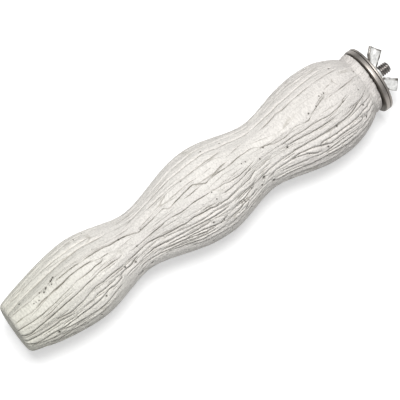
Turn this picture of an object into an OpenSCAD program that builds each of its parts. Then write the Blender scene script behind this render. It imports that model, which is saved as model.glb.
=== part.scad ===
// A cast mineral bird perch with a wavy, bark-grained body. A hanger bolt stands out of one end,
// and two wide washers and a wing nut on it clamp the perch to the wires of a cage.
// The origin is on the bolt's axis, in the plane between the two washers, where the cage wires go.
// +X points along the perch to its tip, and the stud points along -X. +Z is up.

/* [Cast body] */
// Length of the casting, from its washer end to its tip
body_length = 229.5; // [190:1:290]
// Diameter of the bulge nearest the washers
inner_bulge_d = 51.2; // [46:0.2:58]
// Diameter of the waist between the first two bulges
inner_waist_d = 37.4; // [30:0.2:42]
// Diameter of the middle bulge
middle_bulge_d = 50.4; // [44:0.2:56]
// Diameter of the waist between the last two bulges
outer_waist_d = 31.8; // [28:0.2:38]
// Diameter of the bulge nearest the tip
outer_bulge_d = 45.4; // [40:0.2:52]
// Diameter of the tip, before its edge is rounded
tip_d = 28.8; // [24:0.2:36]
// Radius of the rounded edge of the tip
tip_round = 2; // [1.2:0.1:4]
// Diameter of the collar that the inner washer bears on
collar_d = 35; // [34.4:0.2:37]
// Length of the collar
collar_length = 3.8; // [3:0.2:6]
// Radius of the rounded rim of the collar
collar_round = 1.2; // [0.8:0.1:2]
// Diameter of the pinched neck behind the collar
neck_d = 34; // [29:0.2:34.2]
// How far the waves of one side run ahead of the middle, and those of the other side behind it
lean = 2.2; // [0:0.1:3]
// How far the casting's middle line bows out to one side of the bolt's axis
bow = 1; // [0:0.1:1.4]
// How far the collar's centre lies to the same side of the bolt
collar_stray = 1.4; // [0:0.1:1.4]

/* [Bark] */
// Number of furrows on the under side, beside those laid out on the upper side
under_count = 13; // [8:1:13]
// Depth of a full furrow
furrow_depth = 1; // [0.3:0.05:1.3]
// Width of a furrow between its lips
furrow_width = 1.3; // [0.8:0.1:1.6]
// Height by which neighbouring plates of bark differ
plate_step = 0.5; // [0:0.05:0.7]

/* [Core] */
// Diameter of the wooden dowel that the body is cast round
dowel_d = 15.9; // [12:0.1:19]
// Thickness of the casting beyond the dowel's blind end
tip_wall = 27; // [12:1:60]

/* [Hanger bolt] */
// Diameter over the machine thread
stud_d = 6.3; // [5.8:0.05:6.6]
// How far the stud stands out of the plane between the washers
stud_reach = 13; // [11:0.1:22]
// Length of the whole bolt
bolt_length = 63.5; // [54:0.5:90]
// Length of the machine-threaded half
machine_length = 31.8; // [26:0.2:38]
// Length of the plain grip between the two threads
grip_length = 5; // [3:0.5:8]
// Diameter of the plain grip
grip_d = 5.6; // [5:0.1:5.8]
// Diameter of the wood-screw half
screw_d = 5.2; // [4.4:0.1:5.6]
// Length of the wood screw's point
screw_point = 7; // [4:0.5:10]
// Chamfer at the stud's free end
stud_chamfer = 0.8; // [0.4:0.1:1.2]

/* [Washers] */
// Outer diameter of both washers
washer_d = 38.1; // [37.4:0.1:46]
// Diameter of the hole in both washers
washer_hole_d = 7.2; // [6.8:0.1:8]
// Thickness of the washer next to the casting
inner_washer_thickness = 2.7; // [1.2:0.1:3.4]
// Thickness of the washer under the nut
outer_washer_thickness = 1.4; // [1:0.1:2]
// Edge break round each washer
washer_edge = 0.3; // [0.1:0.05:0.4]

/* [Wing nut] */
// Height of the hub
hub_height = 5.2; // [4.4:0.1:6.4]
// Diameter of the hub at its washer face
hub_base_d = 11.6; // [10.6:0.1:13]
// Diameter of the hub at its top
hub_top_d = 9.4; // [8.8:0.1:10]
// Bevel round the hub's top and base
hub_bevel = 0.5; // [0.2:0.1:0.8]
// Distance over the tips of the wings
wing_span = 31; // [27:0.2:35]
// Height of the wing nut over its wings
wing_height = 13.6; // [12:0.2:16]
// Width of a wing across its end
wing_width = 7.6; // [6:0.1:8]
// Thickness of a wing at its root
wing_root_thickness = 3.4; // [2.4:0.1:4]
// Thickness of a wing at its tip
wing_tip_thickness = 1.9; // [1.2:0.1:2.4]
// Radius of a wing's corners
wing_corner = 1.4; // [0.8:0.1:2]
// How far the wings lean out from the axis
wing_lean = 36; // [28:1:44]
// Turn of the wings about the axis from level, when the nut is tight
wing_turn = 150; // [0:1:180]
// Gap all round between the nut's bore and the stud
thread_clearance = 0.08; // [0.05:0.01:0.1]

/* [Hidden] */
$fn = 64;

full_turn = 360;
half_turn = 180;
quarter_turn = 90;

// One overrun serves every cut
overrun = 1;

// The face of the casting that the inner washer bears on, and the face under the nut
seat_x = inner_washer_thickness;
nut_seat_x = -outer_washer_thickness;

// Where the bulges and waists lie, as shares of the casting's length from its washer end
inner_bulge_share = 0.142;
inner_waist_share = 0.309;
middle_bulge_share = 0.4625;
outer_waist_share = 0.6575;
outer_bulge_share = 0.8085;
// How full a bulge is against its waists, and how the two end bulges curve down
bulge_fullness = 0.9;
shoulder_power = 2.65;
tip_power = 1.73;
// Room between the collar and the bottom of the neck
neck_gap = collar_length / 4;
// A power above 1 moves the deepest place of the bow towards the tip
bow_power = 1.42;
// How much of the collar's stray the shoulder behind it keeps
shoulder_stray_share = 0.35;

inner_bulge_at = inner_bulge_share * body_length;
inner_waist_at = inner_waist_share * body_length;
middle_bulge_at = middle_bulge_share * body_length;
outer_waist_at = outer_waist_share * body_length;
outer_bulge_at = outer_bulge_share * body_length;
neck_at = collar_length + neck_gap;

// How many rings of points each stretch of the casting has
collar_rings = 3;
neck_rings = 2;
shoulder_rings = 7;
wave_rings = 34;
tip_rings = 3;

// Furrows and plates rise from nothing over this share of the length, next to the collar
smooth_share = 0.075;
// Turn about the axis, from +Y over +Z, of the line that faces the viewer
turn_up = 75.7;
// The furrows of the upper side, laid out by eye. A row is one furrow from the washer end to the
// tip, at even steps: its turns from the line that faces the viewer, positive towards +Y.
upper_turns = [
    [62, 62, 62.7, 60.9, 61.5, 61, 58.5, 62.7, 60.5, 57, 57, 62, 65, 70, 70, 71, 72],
    [53, 53, 50.2, 50.8, 51, 50, 50, 52.9, 47, 46.5, 45, 48.5, 51.1, 57.4, 57.1, 60, 62],
    [44, 44, 41.5, 41.4, 38, 39.3, 36.8, 37, 34, 33.6, 35.9, 41.5, 41.1, 42.3, 46.8, 53.1, 55],
    [25, 25, 25.5, 25.2, 25, 29.1, 31.5, 31.6, 27.6, 26.9, 26.5, 32, 33.5, 32, 35.4, 38.4, 38],
    [17, 18, 21.4, 20.9, 20, 22, 24.1, 24.6, 22.1, 20.3, 17.1, 26.2, 24.8, 21.7, 30.3, 30.5, 31],
    [12, 13.5, 15.8, 14.5, 13.2, 12.5, 14.3, 15.8, 14.5, 12, 11, 16, 18, 17, 22, 26.5, 27.5],
    [3, 4, 9.4, 8, 6.6, 5, 5.9, 4, 4, 3, 4.6, 9.5, 11.7, 12.1, 14.9, 22, 23.5],
    [-3, -2, 1, 3.2, 3, 0, -2, -2, -2.8, -2.2, -2, -2.5, -3, 0.9, 2.3, 9, 11.5],
    [-9, -9.9, -8.6, -2, -1.2, -5, -8.3, -7.7, -9, -7, -8, -9.2, -10.8, -11, -9.4, -5.1, -4],
    [-14, -14.5, -13.6, -7, -6.5, -10.5, -14.2, -13.4, -15.8, -12.2, -14, -20, -21.5, -21.6, -22, -23, -25],
    [-22, -21.5, -21, -22.5, -22, -23.5, -21.5, -19.5, -21.5, -20.5, -20, -24.6, -26, -26, -27.6, -28, -29],
    [-37, -36.8, -35.6, -34.6, -34.8, -33, -31, -29.7, -30.8, -35, -36.2, -31.5, -32, -31.5, -32, -32, -32],
    [-46, -46, -45.3, -45.1, -45, -42, -39.6, -43.1, -45.5, -47, -46.8, -43, -40, -37.9, -36.7, -35.6, -36],
    [-54, -56, -56, -57, -57, -55.8, -51.5, -52.8, -55.2, -55, -54, -52, -50, -50, -48.8, -50, -49],
    [-64, -64, -63, -64, -65, -64, -62, -62, -64, -63, -62, -60, -60, -60, -60.5, -58.6, -57],
];
// How strong each of them is at the same places, as a share of a full furrow
upper_strengths = [
    [0, 0.8, 0.8, 0.8, 0.8, 0.4, 0.5, 0.5, 0.5, 0.4, 0.3, 0.2, 0.4, 0.4, 0.4, 0.4, 0.4],
    [0, 0.5, 0.65, 0.65, 0.8, 0.4, 0.5, 0.5, 0.5, 0.5, 0.2, 0.2, 0.65, 0.65, 0.65, 0.4, 0.3],
    [0, 0.7, 0.8, 0.8, 0.8, 0.8, 0.8, 0.8, 0.8, 0.8, 0.8, 0.8, 0.8, 0.8, 0.8, 0.8, 0.8],
    [0, 0.1, 0.8, 0.8, 0.8, 0.8, 0.8, 0.5, 0.35, 0.35, 0.1, 0.8, 0.2, 0.1, 0.8, 1, 1],
    [0, 0.5, 0.5, 0.5, 0.2, 0.5, 0.8, 0.8, 0.8, 0.8, 0.8, 0.8, 0.8, 0.8, 0.8, 0.5, 0.1],
    [0, 0.5, 0.65, 0.65, 0.65, 0.4, 0.8, 0.8, 0.35, 0.1, 0, 0, 0, 0, 0.1, 0.1, 0],
    [0, 0.6, 0.6, 0.6, 0.6, 0.3, 1, 1, 1, 1, 1, 1, 1, 1, 1, 1, 1],
    [0, 0.1, 0.3, 0, 0, 0, 0, 0, 0, 0, 0.1, 0.1, 0.5, 0.65, 0.65, 0.65, 0.65],
    [0, 0.4, 0.4, 0.65, 0.65, 0.3, 0.35, 0.35, 0.35, 0.2, 0.2, 0.5, 0.5, 0.8, 0.8, 0.8, 0.7],
    [0, 0.1, 0.65, 0.35, 0.35, 0.65, 0.8, 1, 1, 1, 1, 1, 1, 1, 0.9, 0.5, 0.5],
    [0, 0, 0.1, 0.35, 0.3, 0.2, 0.4, 0.4, 0.4, 0.4, 0.4, 0, 0.1, 0.2, 0.5, 0.1, 0],
    [0, 0.5, 0.5, 0.5, 0.5, 0.4, 0.35, 0.35, 0.35, 0.35, 0.5, 0.5, 0.1, 0, 0, 0, 0],
    [0, 0.5, 0.5, 0.5, 0.5, 0.5, 0.5, 0.5, 0.5, 0.5, 0.5, 0.4, 0.65, 0.65, 0.65, 0.65, 0.65],
    [0, 0.4, 0.5, 0.5, 0.4, 0.5, 0.5, 0.5, 0.5, 0.2, 0.2, 0.4, 0.65, 0.65, 0.65, 0.65, 0.65],
    [0, 0.3, 0.4, 0.4, 0.2, 0.2, 0.2, 0.3, 0.3, 0.2, 0.2, 0.4, 0.5, 0.5, 0.5, 0.5, 0.5],
];
upper_count = len(upper_turns);
furrow_count = upper_count + under_count;
// The stretch of turns about the axis that the furrows of the under side share out
under_start = 152;
under_end = 354;
under_step = (under_end - under_start) / (under_count - 1);
// How far such a furrow strays to either side, as a share of the space between two furrows
wander_share = 0.2;
// Turns of the wander, and of the depth and height, along the body
wander_turns = 2.3;
relief_turns = 3.1;
// A furrow's weakest stretch, as a share of its full depth
faint_share = 0.2;
// Each furrow's waves start this much after those of the one before, so that no two are alike
golden_turn = 137.5;
depth_phase = 50;
plate_phase = 210;
// The most of the room between two furrows that the lip of one takes up
lip_share = 0.36;

// A smooth rise from 0 to 1, held at its ends
function ease(share) = (1 - cos(half_turn * max(0, min(1, share)))) / 2;

// Radius at a share of the way from a waist to a bulge
function flank(waist_d, bulge_d, share) =
    (waist_d + (bulge_d - waist_d) * ease(pow(share, bulge_fullness))) / 2;

// Radius of an end bulge as it curves down to its end, at a share of the way from its top
function end_slope(bulge_d, end_d, share, power) =
    (bulge_d - (bulge_d - end_d) * pow(max(0, min(1, share)), power)) / 2;

// Radius of the plain casting at a distance from its washer end
function body_radius(along) =
    along < neck_at ?
        (neck_d + (collar_d - neck_d) * ease((neck_at - along) / neck_gap)) / 2
    : along < inner_bulge_at ?
        end_slope(inner_bulge_d, neck_d,
            (inner_bulge_at - along) / (inner_bulge_at - neck_at), shoulder_power)
    : along < inner_waist_at ?
        flank(inner_waist_d, inner_bulge_d,
            (inner_waist_at - along) / (inner_waist_at - inner_bulge_at))
    : along < middle_bulge_at ?
        flank(inner_waist_d, middle_bulge_d,
            (along - inner_waist_at) / (middle_bulge_at - inner_waist_at))
    : along < outer_waist_at ?
        flank(outer_waist_d, middle_bulge_d,
            (outer_waist_at - along) / (outer_waist_at - middle_bulge_at))
    : along < outer_bulge_at ?
        flank(outer_waist_d, outer_bulge_d,
            (along - outer_waist_at) / (outer_bulge_at - outer_waist_at))
    :
        end_slope(outer_bulge_d, tip_d,
            (along - outer_bulge_at) / (body_length - outer_bulge_at), tip_power);

// How much a rounded edge draws the surface in, at a distance from the end face
function rounding(from_end, radius) =
    from_end >= radius ? 0 : radius - sqrt(from_end * (2 * radius - from_end));

// 0 at both ends and 1 between the end bulges, so that the end faces stay square
function free_share(along) =
    ease((along - neck_at) / (inner_bulge_at - neck_at))
        * ease((body_length - along) / (body_length - outer_bulge_at));

// Strength of the bark: none at the collar, all of it from the shoulder on
function bark_share(along) = ease((along - neck_at) / (smooth_share * body_length));

// Radius of the skin before the bark. The angle runs from +Y over +Z.
function skin_radius(along, angle) =
    body_radius(along - lean * free_share(along) * cos(angle))
        - rounding(max(0, along), collar_round)
        - rounding(max(0, body_length - along), tip_round);

// A value from a row of values at even steps along the body
function along_row(row, along) =
    let (
        place = max(0, min(1, along / body_length)) * (len(row) - 1),
        step = min(floor(place), len(row) - 2)
    )
    row[step] + (row[step + 1] - row[step]) * (place - step);

// A wave along the body, from -1 to 1, that differs from furrow to furrow
function wave(index, along, turns, phase) =
    sin(turns * full_turn * along / body_length + golden_turn * index + phase);

function furrow_angle(index, along) =
    index < upper_count ?
        turn_up - along_row(upper_turns[index], along)
    :
        under_start + under_step * (index - upper_count
            + wander_share * wave(index, along, wander_turns, 0));

function furrow_strength(index, along) =
    index < upper_count ?
        along_row(upper_strengths[index], along)
    :
        faint_share + (1 - faint_share) * (1 + wave(index, along, relief_turns, depth_phase)) / 2;

function furrow_drop(index, along) =
    furrow_depth * bark_share(along) * furrow_strength(index, along);

function plate_rise(index, along) =
    plate_step / 2 * bark_share(along) * wave(index, along, relief_turns, plate_phase);

// Angle between the bottom of a furrow and its lip
function lip_angle(along) = asin(furrow_width / 2 / body_radius(along));

// How far the middle line lies towards -Y
function stray(along) =
    bow * free_share(along) * sin(half_turn * pow(along / body_length, bow_power))
        + collar_stray * shoulder_stray_share * (1 - ease(along / inner_bulge_at))
        + collar_stray * (1 - shoulder_stray_share) * (1 - ease(along / neck_at));

function skin_point(along, angle, height) =
    let (radius = skin_radius(along, angle) + height)
    [seat_x + along, radius * cos(angle) - stray(along), radius * sin(angle)];

// Four points to each furrow: its bottom, its lip, the middle of the plate beside it, and the
// next furrow's lip
function ring_points(along) = [
    for (index = [0 : furrow_count - 1])
        let (
            next = (index + 1) % furrow_count,
            here = furrow_angle(index, along),
            there = furrow_angle(next, along) + (next == 0 ? full_turn : 0),
            lip = min(lip_angle(along), lip_share * (there - here)),
            rise = plate_rise(index, along)
        )
        each [
            skin_point(along, here, -furrow_drop(index, along)),
            skin_point(along, here + lip, rise),
            skin_point(along, (here + there) / 2, rise),
            skin_point(along, there - lip, rise)
        ]
];
points_per_furrow = 4;

// Distances of the rings from the washer end, stretch by stretch
function even_steps(start, end, count) = [for (i = [0 : count - 1]) start + (end - start) * i / count];
function rim_step(radius, share) = radius * (1 - cos(quarter_turn * share));
stations = concat(
    [for (i = [0 : collar_rings - 1]) rim_step(collar_round, i / collar_rings)],
    even_steps(collar_round, collar_length, 1),
    even_steps(collar_length, neck_at, neck_rings),
    even_steps(neck_at, inner_bulge_at, shoulder_rings),
    even_steps(inner_bulge_at, body_length - tip_round, wave_rings),
    [for (i = [tip_rings : -1 : 0]) body_length - rim_step(tip_round, i / tip_rings)]
);

ring_size = points_per_furrow * furrow_count;
last_ring = len(stations) - 1;

// Two triangles close the patch between two rings and two neighbouring places
function patch_faces(ring, place) =
    let (
        next = (place + 1) % ring_size,
        a = ring * ring_size + place,
        b = ring * ring_size + next,
        c = (ring + 1) * ring_size + next,
        d = (ring + 1) * ring_size + place
    )
    [[a, b, c], [a, c, d]];

// The casting before the dowel's place is taken out of it
module bark_skin() {
    points = [for (along = stations) each ring_points(along)];
    sides = [
        for (ring = [0 : last_ring - 1], place = [0 : ring_size - 1])
            each patch_faces(ring, place)
    ];
    seat_face = [for (place = [ring_size - 1 : -1 : 0]) place];
    tip_face = [for (place = [0 : ring_size - 1]) last_ring * ring_size + place];
    polyhedron(points = points, faces = concat([seat_face], sides, [tip_face]));
}

// Lays what is made along +Z along +X
module along_x() {
    rotate([0, quarter_turn, 0]) children();
}

dowel_length = body_length - tip_wall;

module cast_body() {
    color("#e6e2da")
    difference() {
        bark_skin();
        translate([seat_x - overrun, 0, 0])
            along_x() cylinder(d = dowel_d, h = dowel_length + overrun);
    }
}

// Half of the bolt's outline, from its free end to its point
module bolt_section() {
    grip_at = machine_length;
    screw_at = machine_length + grip_length;
    polygon([
        [0, 0],
        [stud_d / 2 - stud_chamfer, 0],
        [stud_d / 2, stud_chamfer],
        [stud_d / 2, grip_at],
        [grip_d / 2, grip_at],
        [grip_d / 2, screw_at],
        [screw_d / 2, screw_at],
        [screw_d / 2, bolt_length - screw_point],
        [0, bolt_length]
    ]);
}

module hanger_bolt() {
    color("#8b8680")
    translate([-stud_reach, 0, 0]) along_x() rotate_extrude() bolt_section();
}

module dowel_core() {
    color("#c8a878")
    difference() {
        translate([seat_x, 0, 0]) along_x() cylinder(d = dowel_d, h = dowel_length);
        hanger_bolt();
    }
}

// A wide flat washer, standing on the plane between the washers
module washer(thickness) {
    along_x() rotate_extrude()
        polygon([
            [washer_hole_d / 2, 0],
            [washer_d / 2 - washer_edge, 0],
            [washer_d / 2, washer_edge],
            [washer_d / 2, thickness - washer_edge],
            [washer_d / 2 - washer_edge, thickness],
            [washer_hole_d / 2, thickness]
        ]);
}

module inner_washer() {
    color("#9a9590") washer(inner_washer_thickness);
}

module outer_washer() {
    color("#a09b95") mirror([1, 0, 0]) washer(outer_washer_thickness);
}

nut_bore_d = stud_d + 2 * thread_clearance;

module hub() {
    rotate_extrude()
        polygon([
            [0, 0],
            [hub_base_d / 2 - hub_bevel, 0],
            [hub_base_d / 2, hub_bevel],
            [hub_top_d / 2, hub_height - hub_bevel],
            [hub_top_d / 2 - hub_bevel, hub_height],
            [0, hub_height]
        ]);
}

// A wing is a strip that leans out from the axis, as [distance from the axis, height]. Its end is
// square to the strip.
wing_along = [sin(wing_lean), cos(wing_lean)];
wing_across = [cos(wing_lean), -sin(wing_lean)];
wing_inner_corner = [wing_span / 2 - wing_width * cos(wing_lean), wing_height];
wing_outer_corner = wing_inner_corner + wing_width * wing_across;
// The strip's two edges run down to the hub
wing_crotch = wing_inner_corner - wing_along * (wing_height - hub_height) / wing_along.y;
wing_heel = wing_outer_corner - wing_along * (wing_outer_corner.y - hub_height) / wing_along.y;
wing_foot = [hub_base_d / 2 - hub_bevel, 2 * hub_bevel];
corner_steps = 6;

// An arc that rounds a corner of an outline between the points before and after it
function corner_arc(before, corner, after, radius) =
    let (
        back = (before - corner) / norm(before - corner),
        ahead = (after - corner) / norm(after - corner),
        half_angle = acos(back * ahead) / 2,
        reach = radius / tan(half_angle),
        centre = corner + (back + ahead) / norm(back + ahead) * radius / sin(half_angle),
        first = corner + back * reach - centre,
        last = corner + ahead * reach - centre
    )
    [for (i = [0 : corner_steps])
        let (spoke = first * (1 - i / corner_steps) + last * i / corner_steps)
        centre + spoke / norm(spoke) * radius];

module wing_outline() {
    polygon(concat(
        [[0, 2 * hub_bevel], wing_foot],
        corner_arc(wing_foot, wing_heel, wing_outer_corner, 2 * wing_corner),
        corner_arc(wing_heel, wing_outer_corner, wing_inner_corner, wing_corner),
        corner_arc(wing_outer_corner, wing_inner_corner, wing_crotch, wing_corner),
        [wing_crotch, [0, hub_height]]
    ));
}

// A wing as it is seen along the axis: it thins towards its tip
module wing_plan() {
    polygon([
        [0, -wing_root_thickness / 2],
        [hub_top_d / 2, -wing_root_thickness / 2],
        [wing_span / 2, -wing_tip_thickness / 2],
        [wing_span / 2, wing_tip_thickness / 2],
        [hub_top_d / 2, wing_root_thickness / 2],
        [0, wing_root_thickness / 2]
    ]);
}

module wing() {
    intersection() {
        rotate([quarter_turn, 0, 0])
            linear_extrude(height = 2 * wing_root_thickness, center = true) wing_outline();
        linear_extrude(height = wing_height + overrun) wing_plan();
    }
}

module wing_nut() {
    color("#d8d6d2")
    translate([nut_seat_x, 0, 0])
    rotate([wing_turn, 0, 0])
    mirror([1, 0, 0]) along_x() rotate([0, 0, quarter_turn])
    difference() {
        union() {
            hub();
            for (side = [0, half_turn]) rotate([0, 0, side]) wing();
        }
        translate([0, 0, -overrun]) cylinder(d = nut_bore_d, h = wing_height + 2 * overrun);
    }
}

cast_body();
dowel_core();
hanger_bolt();
inner_washer();
outer_washer();
wing_nut();
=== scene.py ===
# %% [markdown]
# # A cast bird perch, modelled as a maker would make it
#
# The perch is a mineral casting with a wavy outline and a skin like old bark. A hanger bolt sits in one
# end, and two wide washers and a wing nut on it clamp the perch to the wires of a cage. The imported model
# gives every piece its size and place. This lesson gives each piece its surface.

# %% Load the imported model
import math
import random

import bpy
import numpy as np
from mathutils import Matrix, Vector, noise


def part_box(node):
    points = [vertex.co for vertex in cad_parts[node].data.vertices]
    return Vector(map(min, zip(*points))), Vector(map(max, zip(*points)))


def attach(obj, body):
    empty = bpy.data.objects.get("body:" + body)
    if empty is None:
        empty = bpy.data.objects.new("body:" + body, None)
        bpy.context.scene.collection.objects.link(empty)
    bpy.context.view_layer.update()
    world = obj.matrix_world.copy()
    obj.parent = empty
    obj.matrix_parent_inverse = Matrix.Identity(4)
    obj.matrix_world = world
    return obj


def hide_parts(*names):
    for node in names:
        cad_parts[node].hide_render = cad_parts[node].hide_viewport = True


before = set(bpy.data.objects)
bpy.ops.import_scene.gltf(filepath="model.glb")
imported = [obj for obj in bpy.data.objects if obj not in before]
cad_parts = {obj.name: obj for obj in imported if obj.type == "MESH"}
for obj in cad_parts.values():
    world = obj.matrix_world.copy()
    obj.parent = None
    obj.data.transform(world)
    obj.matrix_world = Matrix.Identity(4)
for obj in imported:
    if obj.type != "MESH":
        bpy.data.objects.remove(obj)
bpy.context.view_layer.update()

# %% [markdown]
# Sizes are easier to think of in millimetres, and Blender's unit is the metre, so one value turns the one
# into the other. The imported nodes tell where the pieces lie: the casting's seat and tip, the washers'
# faces and the stud's free end.

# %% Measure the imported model
MM = 0.001


def span(node, axis):
    """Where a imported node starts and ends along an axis, in millimetres"""
    low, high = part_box(node)
    return low[axis] / MM, high[axis] / MM


SEAT_X, TIP_X = span("cast_body", 0)
STUD_END_X, SCREW_END_X = span("hanger_bolt", 0)
NUT_SEAT_X = span("outer_washer", 0)[0]
WASHER_R = span("outer_washer", 1)[1]
STUD_R = span("hanger_bolt", 1)[1]
FLOOR_Z = span("cast_body", 2)[0]
print(f"casting {TIP_X - SEAT_X:.1f} mm long, washers {2 * WASHER_R:.1f} mm wide")

# %% [markdown]
# The camera looks almost straight down, from a little beyond the tip. A long lens 1.2 m away keeps the
# perspective as gentle as it is in a studio picture of a small thing.

# %% Set up the camera
CAMERA_AIM = Vector((113.2, 0.6, 0)) * MM
CAMERA_AZIMUTH = 143.5
CAMERA_ELEVATION = 72.4
CAMERA_DISTANCE = 1182 * MM
SENSOR_MM = 36
LENS_MM = 201.7


def direction(azimuth, elevation):
    """The unit vector that points from the object to a place at this azimuth and elevation"""
    turn, rise = math.radians(azimuth), math.radians(elevation)
    return Vector((math.sin(turn) * math.cos(rise), -math.cos(turn) * math.cos(rise), math.sin(rise)))


camera_data = bpy.data.cameras.new("camera")
camera_data.sensor_width = SENSOR_MM
camera_data.lens = LENS_MM
camera = bpy.data.objects.new("camera", camera_data)
bpy.context.scene.collection.objects.link(camera)
back = direction(CAMERA_AZIMUTH, CAMERA_ELEVATION)
camera.location = CAMERA_AIM + back * CAMERA_DISTANCE
camera.rotation_euler = back.to_track_quat("Z", "Y").to_euler()
bpy.context.scene.camera = camera
print("camera", [round(c, 3) for c in camera.location])

# %% [markdown]
# Four small helpers serve every material. One turns a colour as it is written in a paint chart, an sRGB
# hex value, into the linear numbers that the renderer adds up. One makes an empty material. One adds a node,
# sets it and links it, and the last makes a colour ramp, whose stops have to be filled one by one.

# %% Helpers for materials


def linear(hex_colour):
    """An sRGB hex colour as linear red, green, blue and alpha"""
    parts = [int(hex_colour[i:i + 2], 16) / 255 for i in (1, 3, 5)]
    return [p / 12.92 if p <= 0.04045 else ((p + 0.055) / 1.055) ** 2.4 for p in parts] + [1]


def new_material(name):
    """An empty node material, its tree and its output node"""
    material = bpy.data.materials.new(name)
    material.use_nodes = True
    tree = material.node_tree
    tree.nodes.clear()
    return material, tree, tree.nodes.new("ShaderNodeOutputMaterial")


def add(tree, kind, links=None, values=None, **settings):
    """Adds a node, sets its properties and sockets, and links sockets from other nodes' outputs"""
    node = tree.nodes.new("ShaderNode" + kind)
    for key, value in settings.items():
        setattr(node, key, value)
    for socket, value in (values or {}).items():
        node.inputs[socket].default_value = value
    for socket, output in (links or {}).items():
        tree.links.new(output, node.inputs[socket])
    return node


def ramp(tree, source, stops):
    """A colour ramp with hex colours, or grey levels, at its stops"""
    node = add(tree, "ValToRGB", links={"Fac": source})
    points = node.color_ramp.elements
    while len(points) < len(stops):
        points.new(0.5)
    for point, (place, colour) in zip(points, stops):
        point.position = place
        point.color = linear(colour) if isinstance(colour, str) else (colour, colour, colour, 1)
    return node.outputs["Color"]


# %% [markdown]
# The studio is plain: a white table, and one wide lamp straight above it, as over a copying stand. Light
# from above is what brings out a bark: it fills the plates and leaves the furrows dark. The world fills the
# shadows evenly, as white walls do. The camera sees it white. A reflection sees it white high up and grey
# towards the horizon, because a metal with nothing dark to reflect looks like paper.

# %% Light the studio
FILL = 0.28
# What a reflection sees of the horizon, and the heights between which that grows to white
HORIZON, HORIZON_FROM, HORIZON_TO = 0.12, 0.15, 0.6
WORLD_COLOUR = "#f6f8fa"
LAMP_COLOUR = "#ffffff"


def light_world():
    """An even fill. The camera sees it white, and reflections see it grey towards the horizon."""
    world = bpy.data.worlds.new("studio")
    bpy.context.scene.world = world
    world.use_nodes = True
    tree = world.node_tree
    rays = add(tree, "LightPath")
    height = add(tree, "SeparateXYZ", links={0: add(tree, "TexCoord").outputs["Generated"]}).outputs["Z"]
    mirrored = add(tree, "MapRange", links={0: height},
                   values={1: HORIZON_FROM, 2: HORIZON_TO, 3: HORIZON, 4: 1})
    gloss = add(tree, "MapRange", links={0: rays.outputs["Is Glossy Ray"], 4: mirrored.outputs[0]},
                values={3: FILL})
    strength = add(tree, "Math", operation="MAXIMUM",
                   links={0: gloss.outputs[0], 1: rays.outputs["Is Camera Ray"]})
    background = tree.nodes["Background"]
    background.inputs["Color"].default_value = linear(WORLD_COLOUR)
    tree.links.new(strength.outputs[0], background.inputs["Strength"])


def hang_lamp(name, azimuth, elevation, distance, size, watts):
    """A square area lamp that points at the middle of the perch"""
    data = bpy.data.lights.new(name, "AREA")
    data.energy = watts
    data.size = size
    data.color = linear(LAMP_COLOUR)[:3]
    lamp = bpy.data.objects.new(name, data)
    bpy.context.scene.collection.objects.link(lamp)
    towards = direction(azimuth, elevation)
    lamp.location = CAMERA_AIM + towards * distance
    lamp.rotation_euler = towards.to_track_quat("Z", "Y").to_euler()


light_world()
hang_lamp("overhead_lamp", azimuth=0, elevation=88, distance=1.1, size=0.5, watts=13.7)
bpy.context.scene.view_settings.view_transform = "Standard"

# %% [markdown]
# The table is a plain sheet under the perch, 3 m wide, so that only a low view sees its edge. A matte sheet
# under one lamp comes out grey in a picture, and a photographer lights it apart from the object. Here its
# material glows a little, but only to the camera and to reflections, so the glow doesn't wash out the
# perch's shadow side.

# %% Lay the table
TABLE_SIZE = 3
TABLE_COLOUR = "#d4d4d4"
TABLE_GLOW = 0.48


def seen_or_mirrored(tree):
    """1 where the camera or a reflection looks, 0 where light is gathered"""
    rays = add(tree, "LightPath")
    return add(tree, "Math", operation="MAXIMUM",
               links={0: rays.outputs["Is Camera Ray"], 1: rays.outputs["Is Glossy Ray"]}).outputs[0]


def table_material():
    """Matte white. Only the camera and reflections see its extra brightness."""
    material, tree, output = new_material("table_white")
    matte = add(tree, "BsdfDiffuse", values={"Color": linear(TABLE_COLOUR)})
    glow = add(tree, "Emission", values={"Color": (1, 1, 1, 1), "Strength": TABLE_GLOW})
    both = add(tree, "AddShader")
    tree.links.new(matte.outputs[0], both.inputs[0])
    tree.links.new(glow.outputs[0], both.inputs[1])
    mixed = add(tree, "MixShader", links={"Fac": seen_or_mirrored(tree)})
    tree.links.new(matte.outputs[0], mixed.inputs[1])
    tree.links.new(both.outputs[0], mixed.inputs[2])
    tree.links.new(mixed.outputs[0], output.inputs["Surface"])
    return material


bpy.ops.mesh.primitive_plane_add(size=TABLE_SIZE, location=(CAMERA_AIM.x, CAMERA_AIM.y, FLOOR_Z * MM))
table = bpy.context.object
table.name = "table"
table.data.materials.append(table_material())
print(f"table {TABLE_SIZE} m wide at a height of {FLOOR_Z:.1f} mm")

# %% [markdown]
# The patterns of a material are mixed by three small helpers. One tints a colour, one darkens it where a
# pattern is low, and one lays reliefs on each other, which are too fine to be modelled.

# %% Helpers for patterns


def tint(tree, colour, hex_colour, amount):
    """Mixes a colour towards another by an amount from another node"""
    node = add(tree, "Mix", data_type="RGBA", links={0: amount, 6: colour})
    node.inputs[7].default_value = linear(hex_colour)
    return node.outputs[2]


def shade(tree, colour, source, dark, start, stop):
    """Darkens a colour where a pattern is low"""
    node = add(tree, "Mix", data_type="RGBA", blend_type="MULTIPLY", values={0: 1.0},
               links={6: colour, 7: ramp(tree, source, [(start, dark), (stop, 1.0)])})
    return node.outputs[2]


def lower(tree, heights):
    """Adds reliefs one on another, each given as its height pattern and its depth in millimetres"""
    normal = None
    for height, depth_mm in heights:
        links = {"Height": height} if normal is None else {"Height": height, "Normal": normal}
        normal = add(tree, "Bump", links=links,
                     values={"Strength": 1.0, "Distance": depth_mm * MM}).outputs[0]
    return normal


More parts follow.
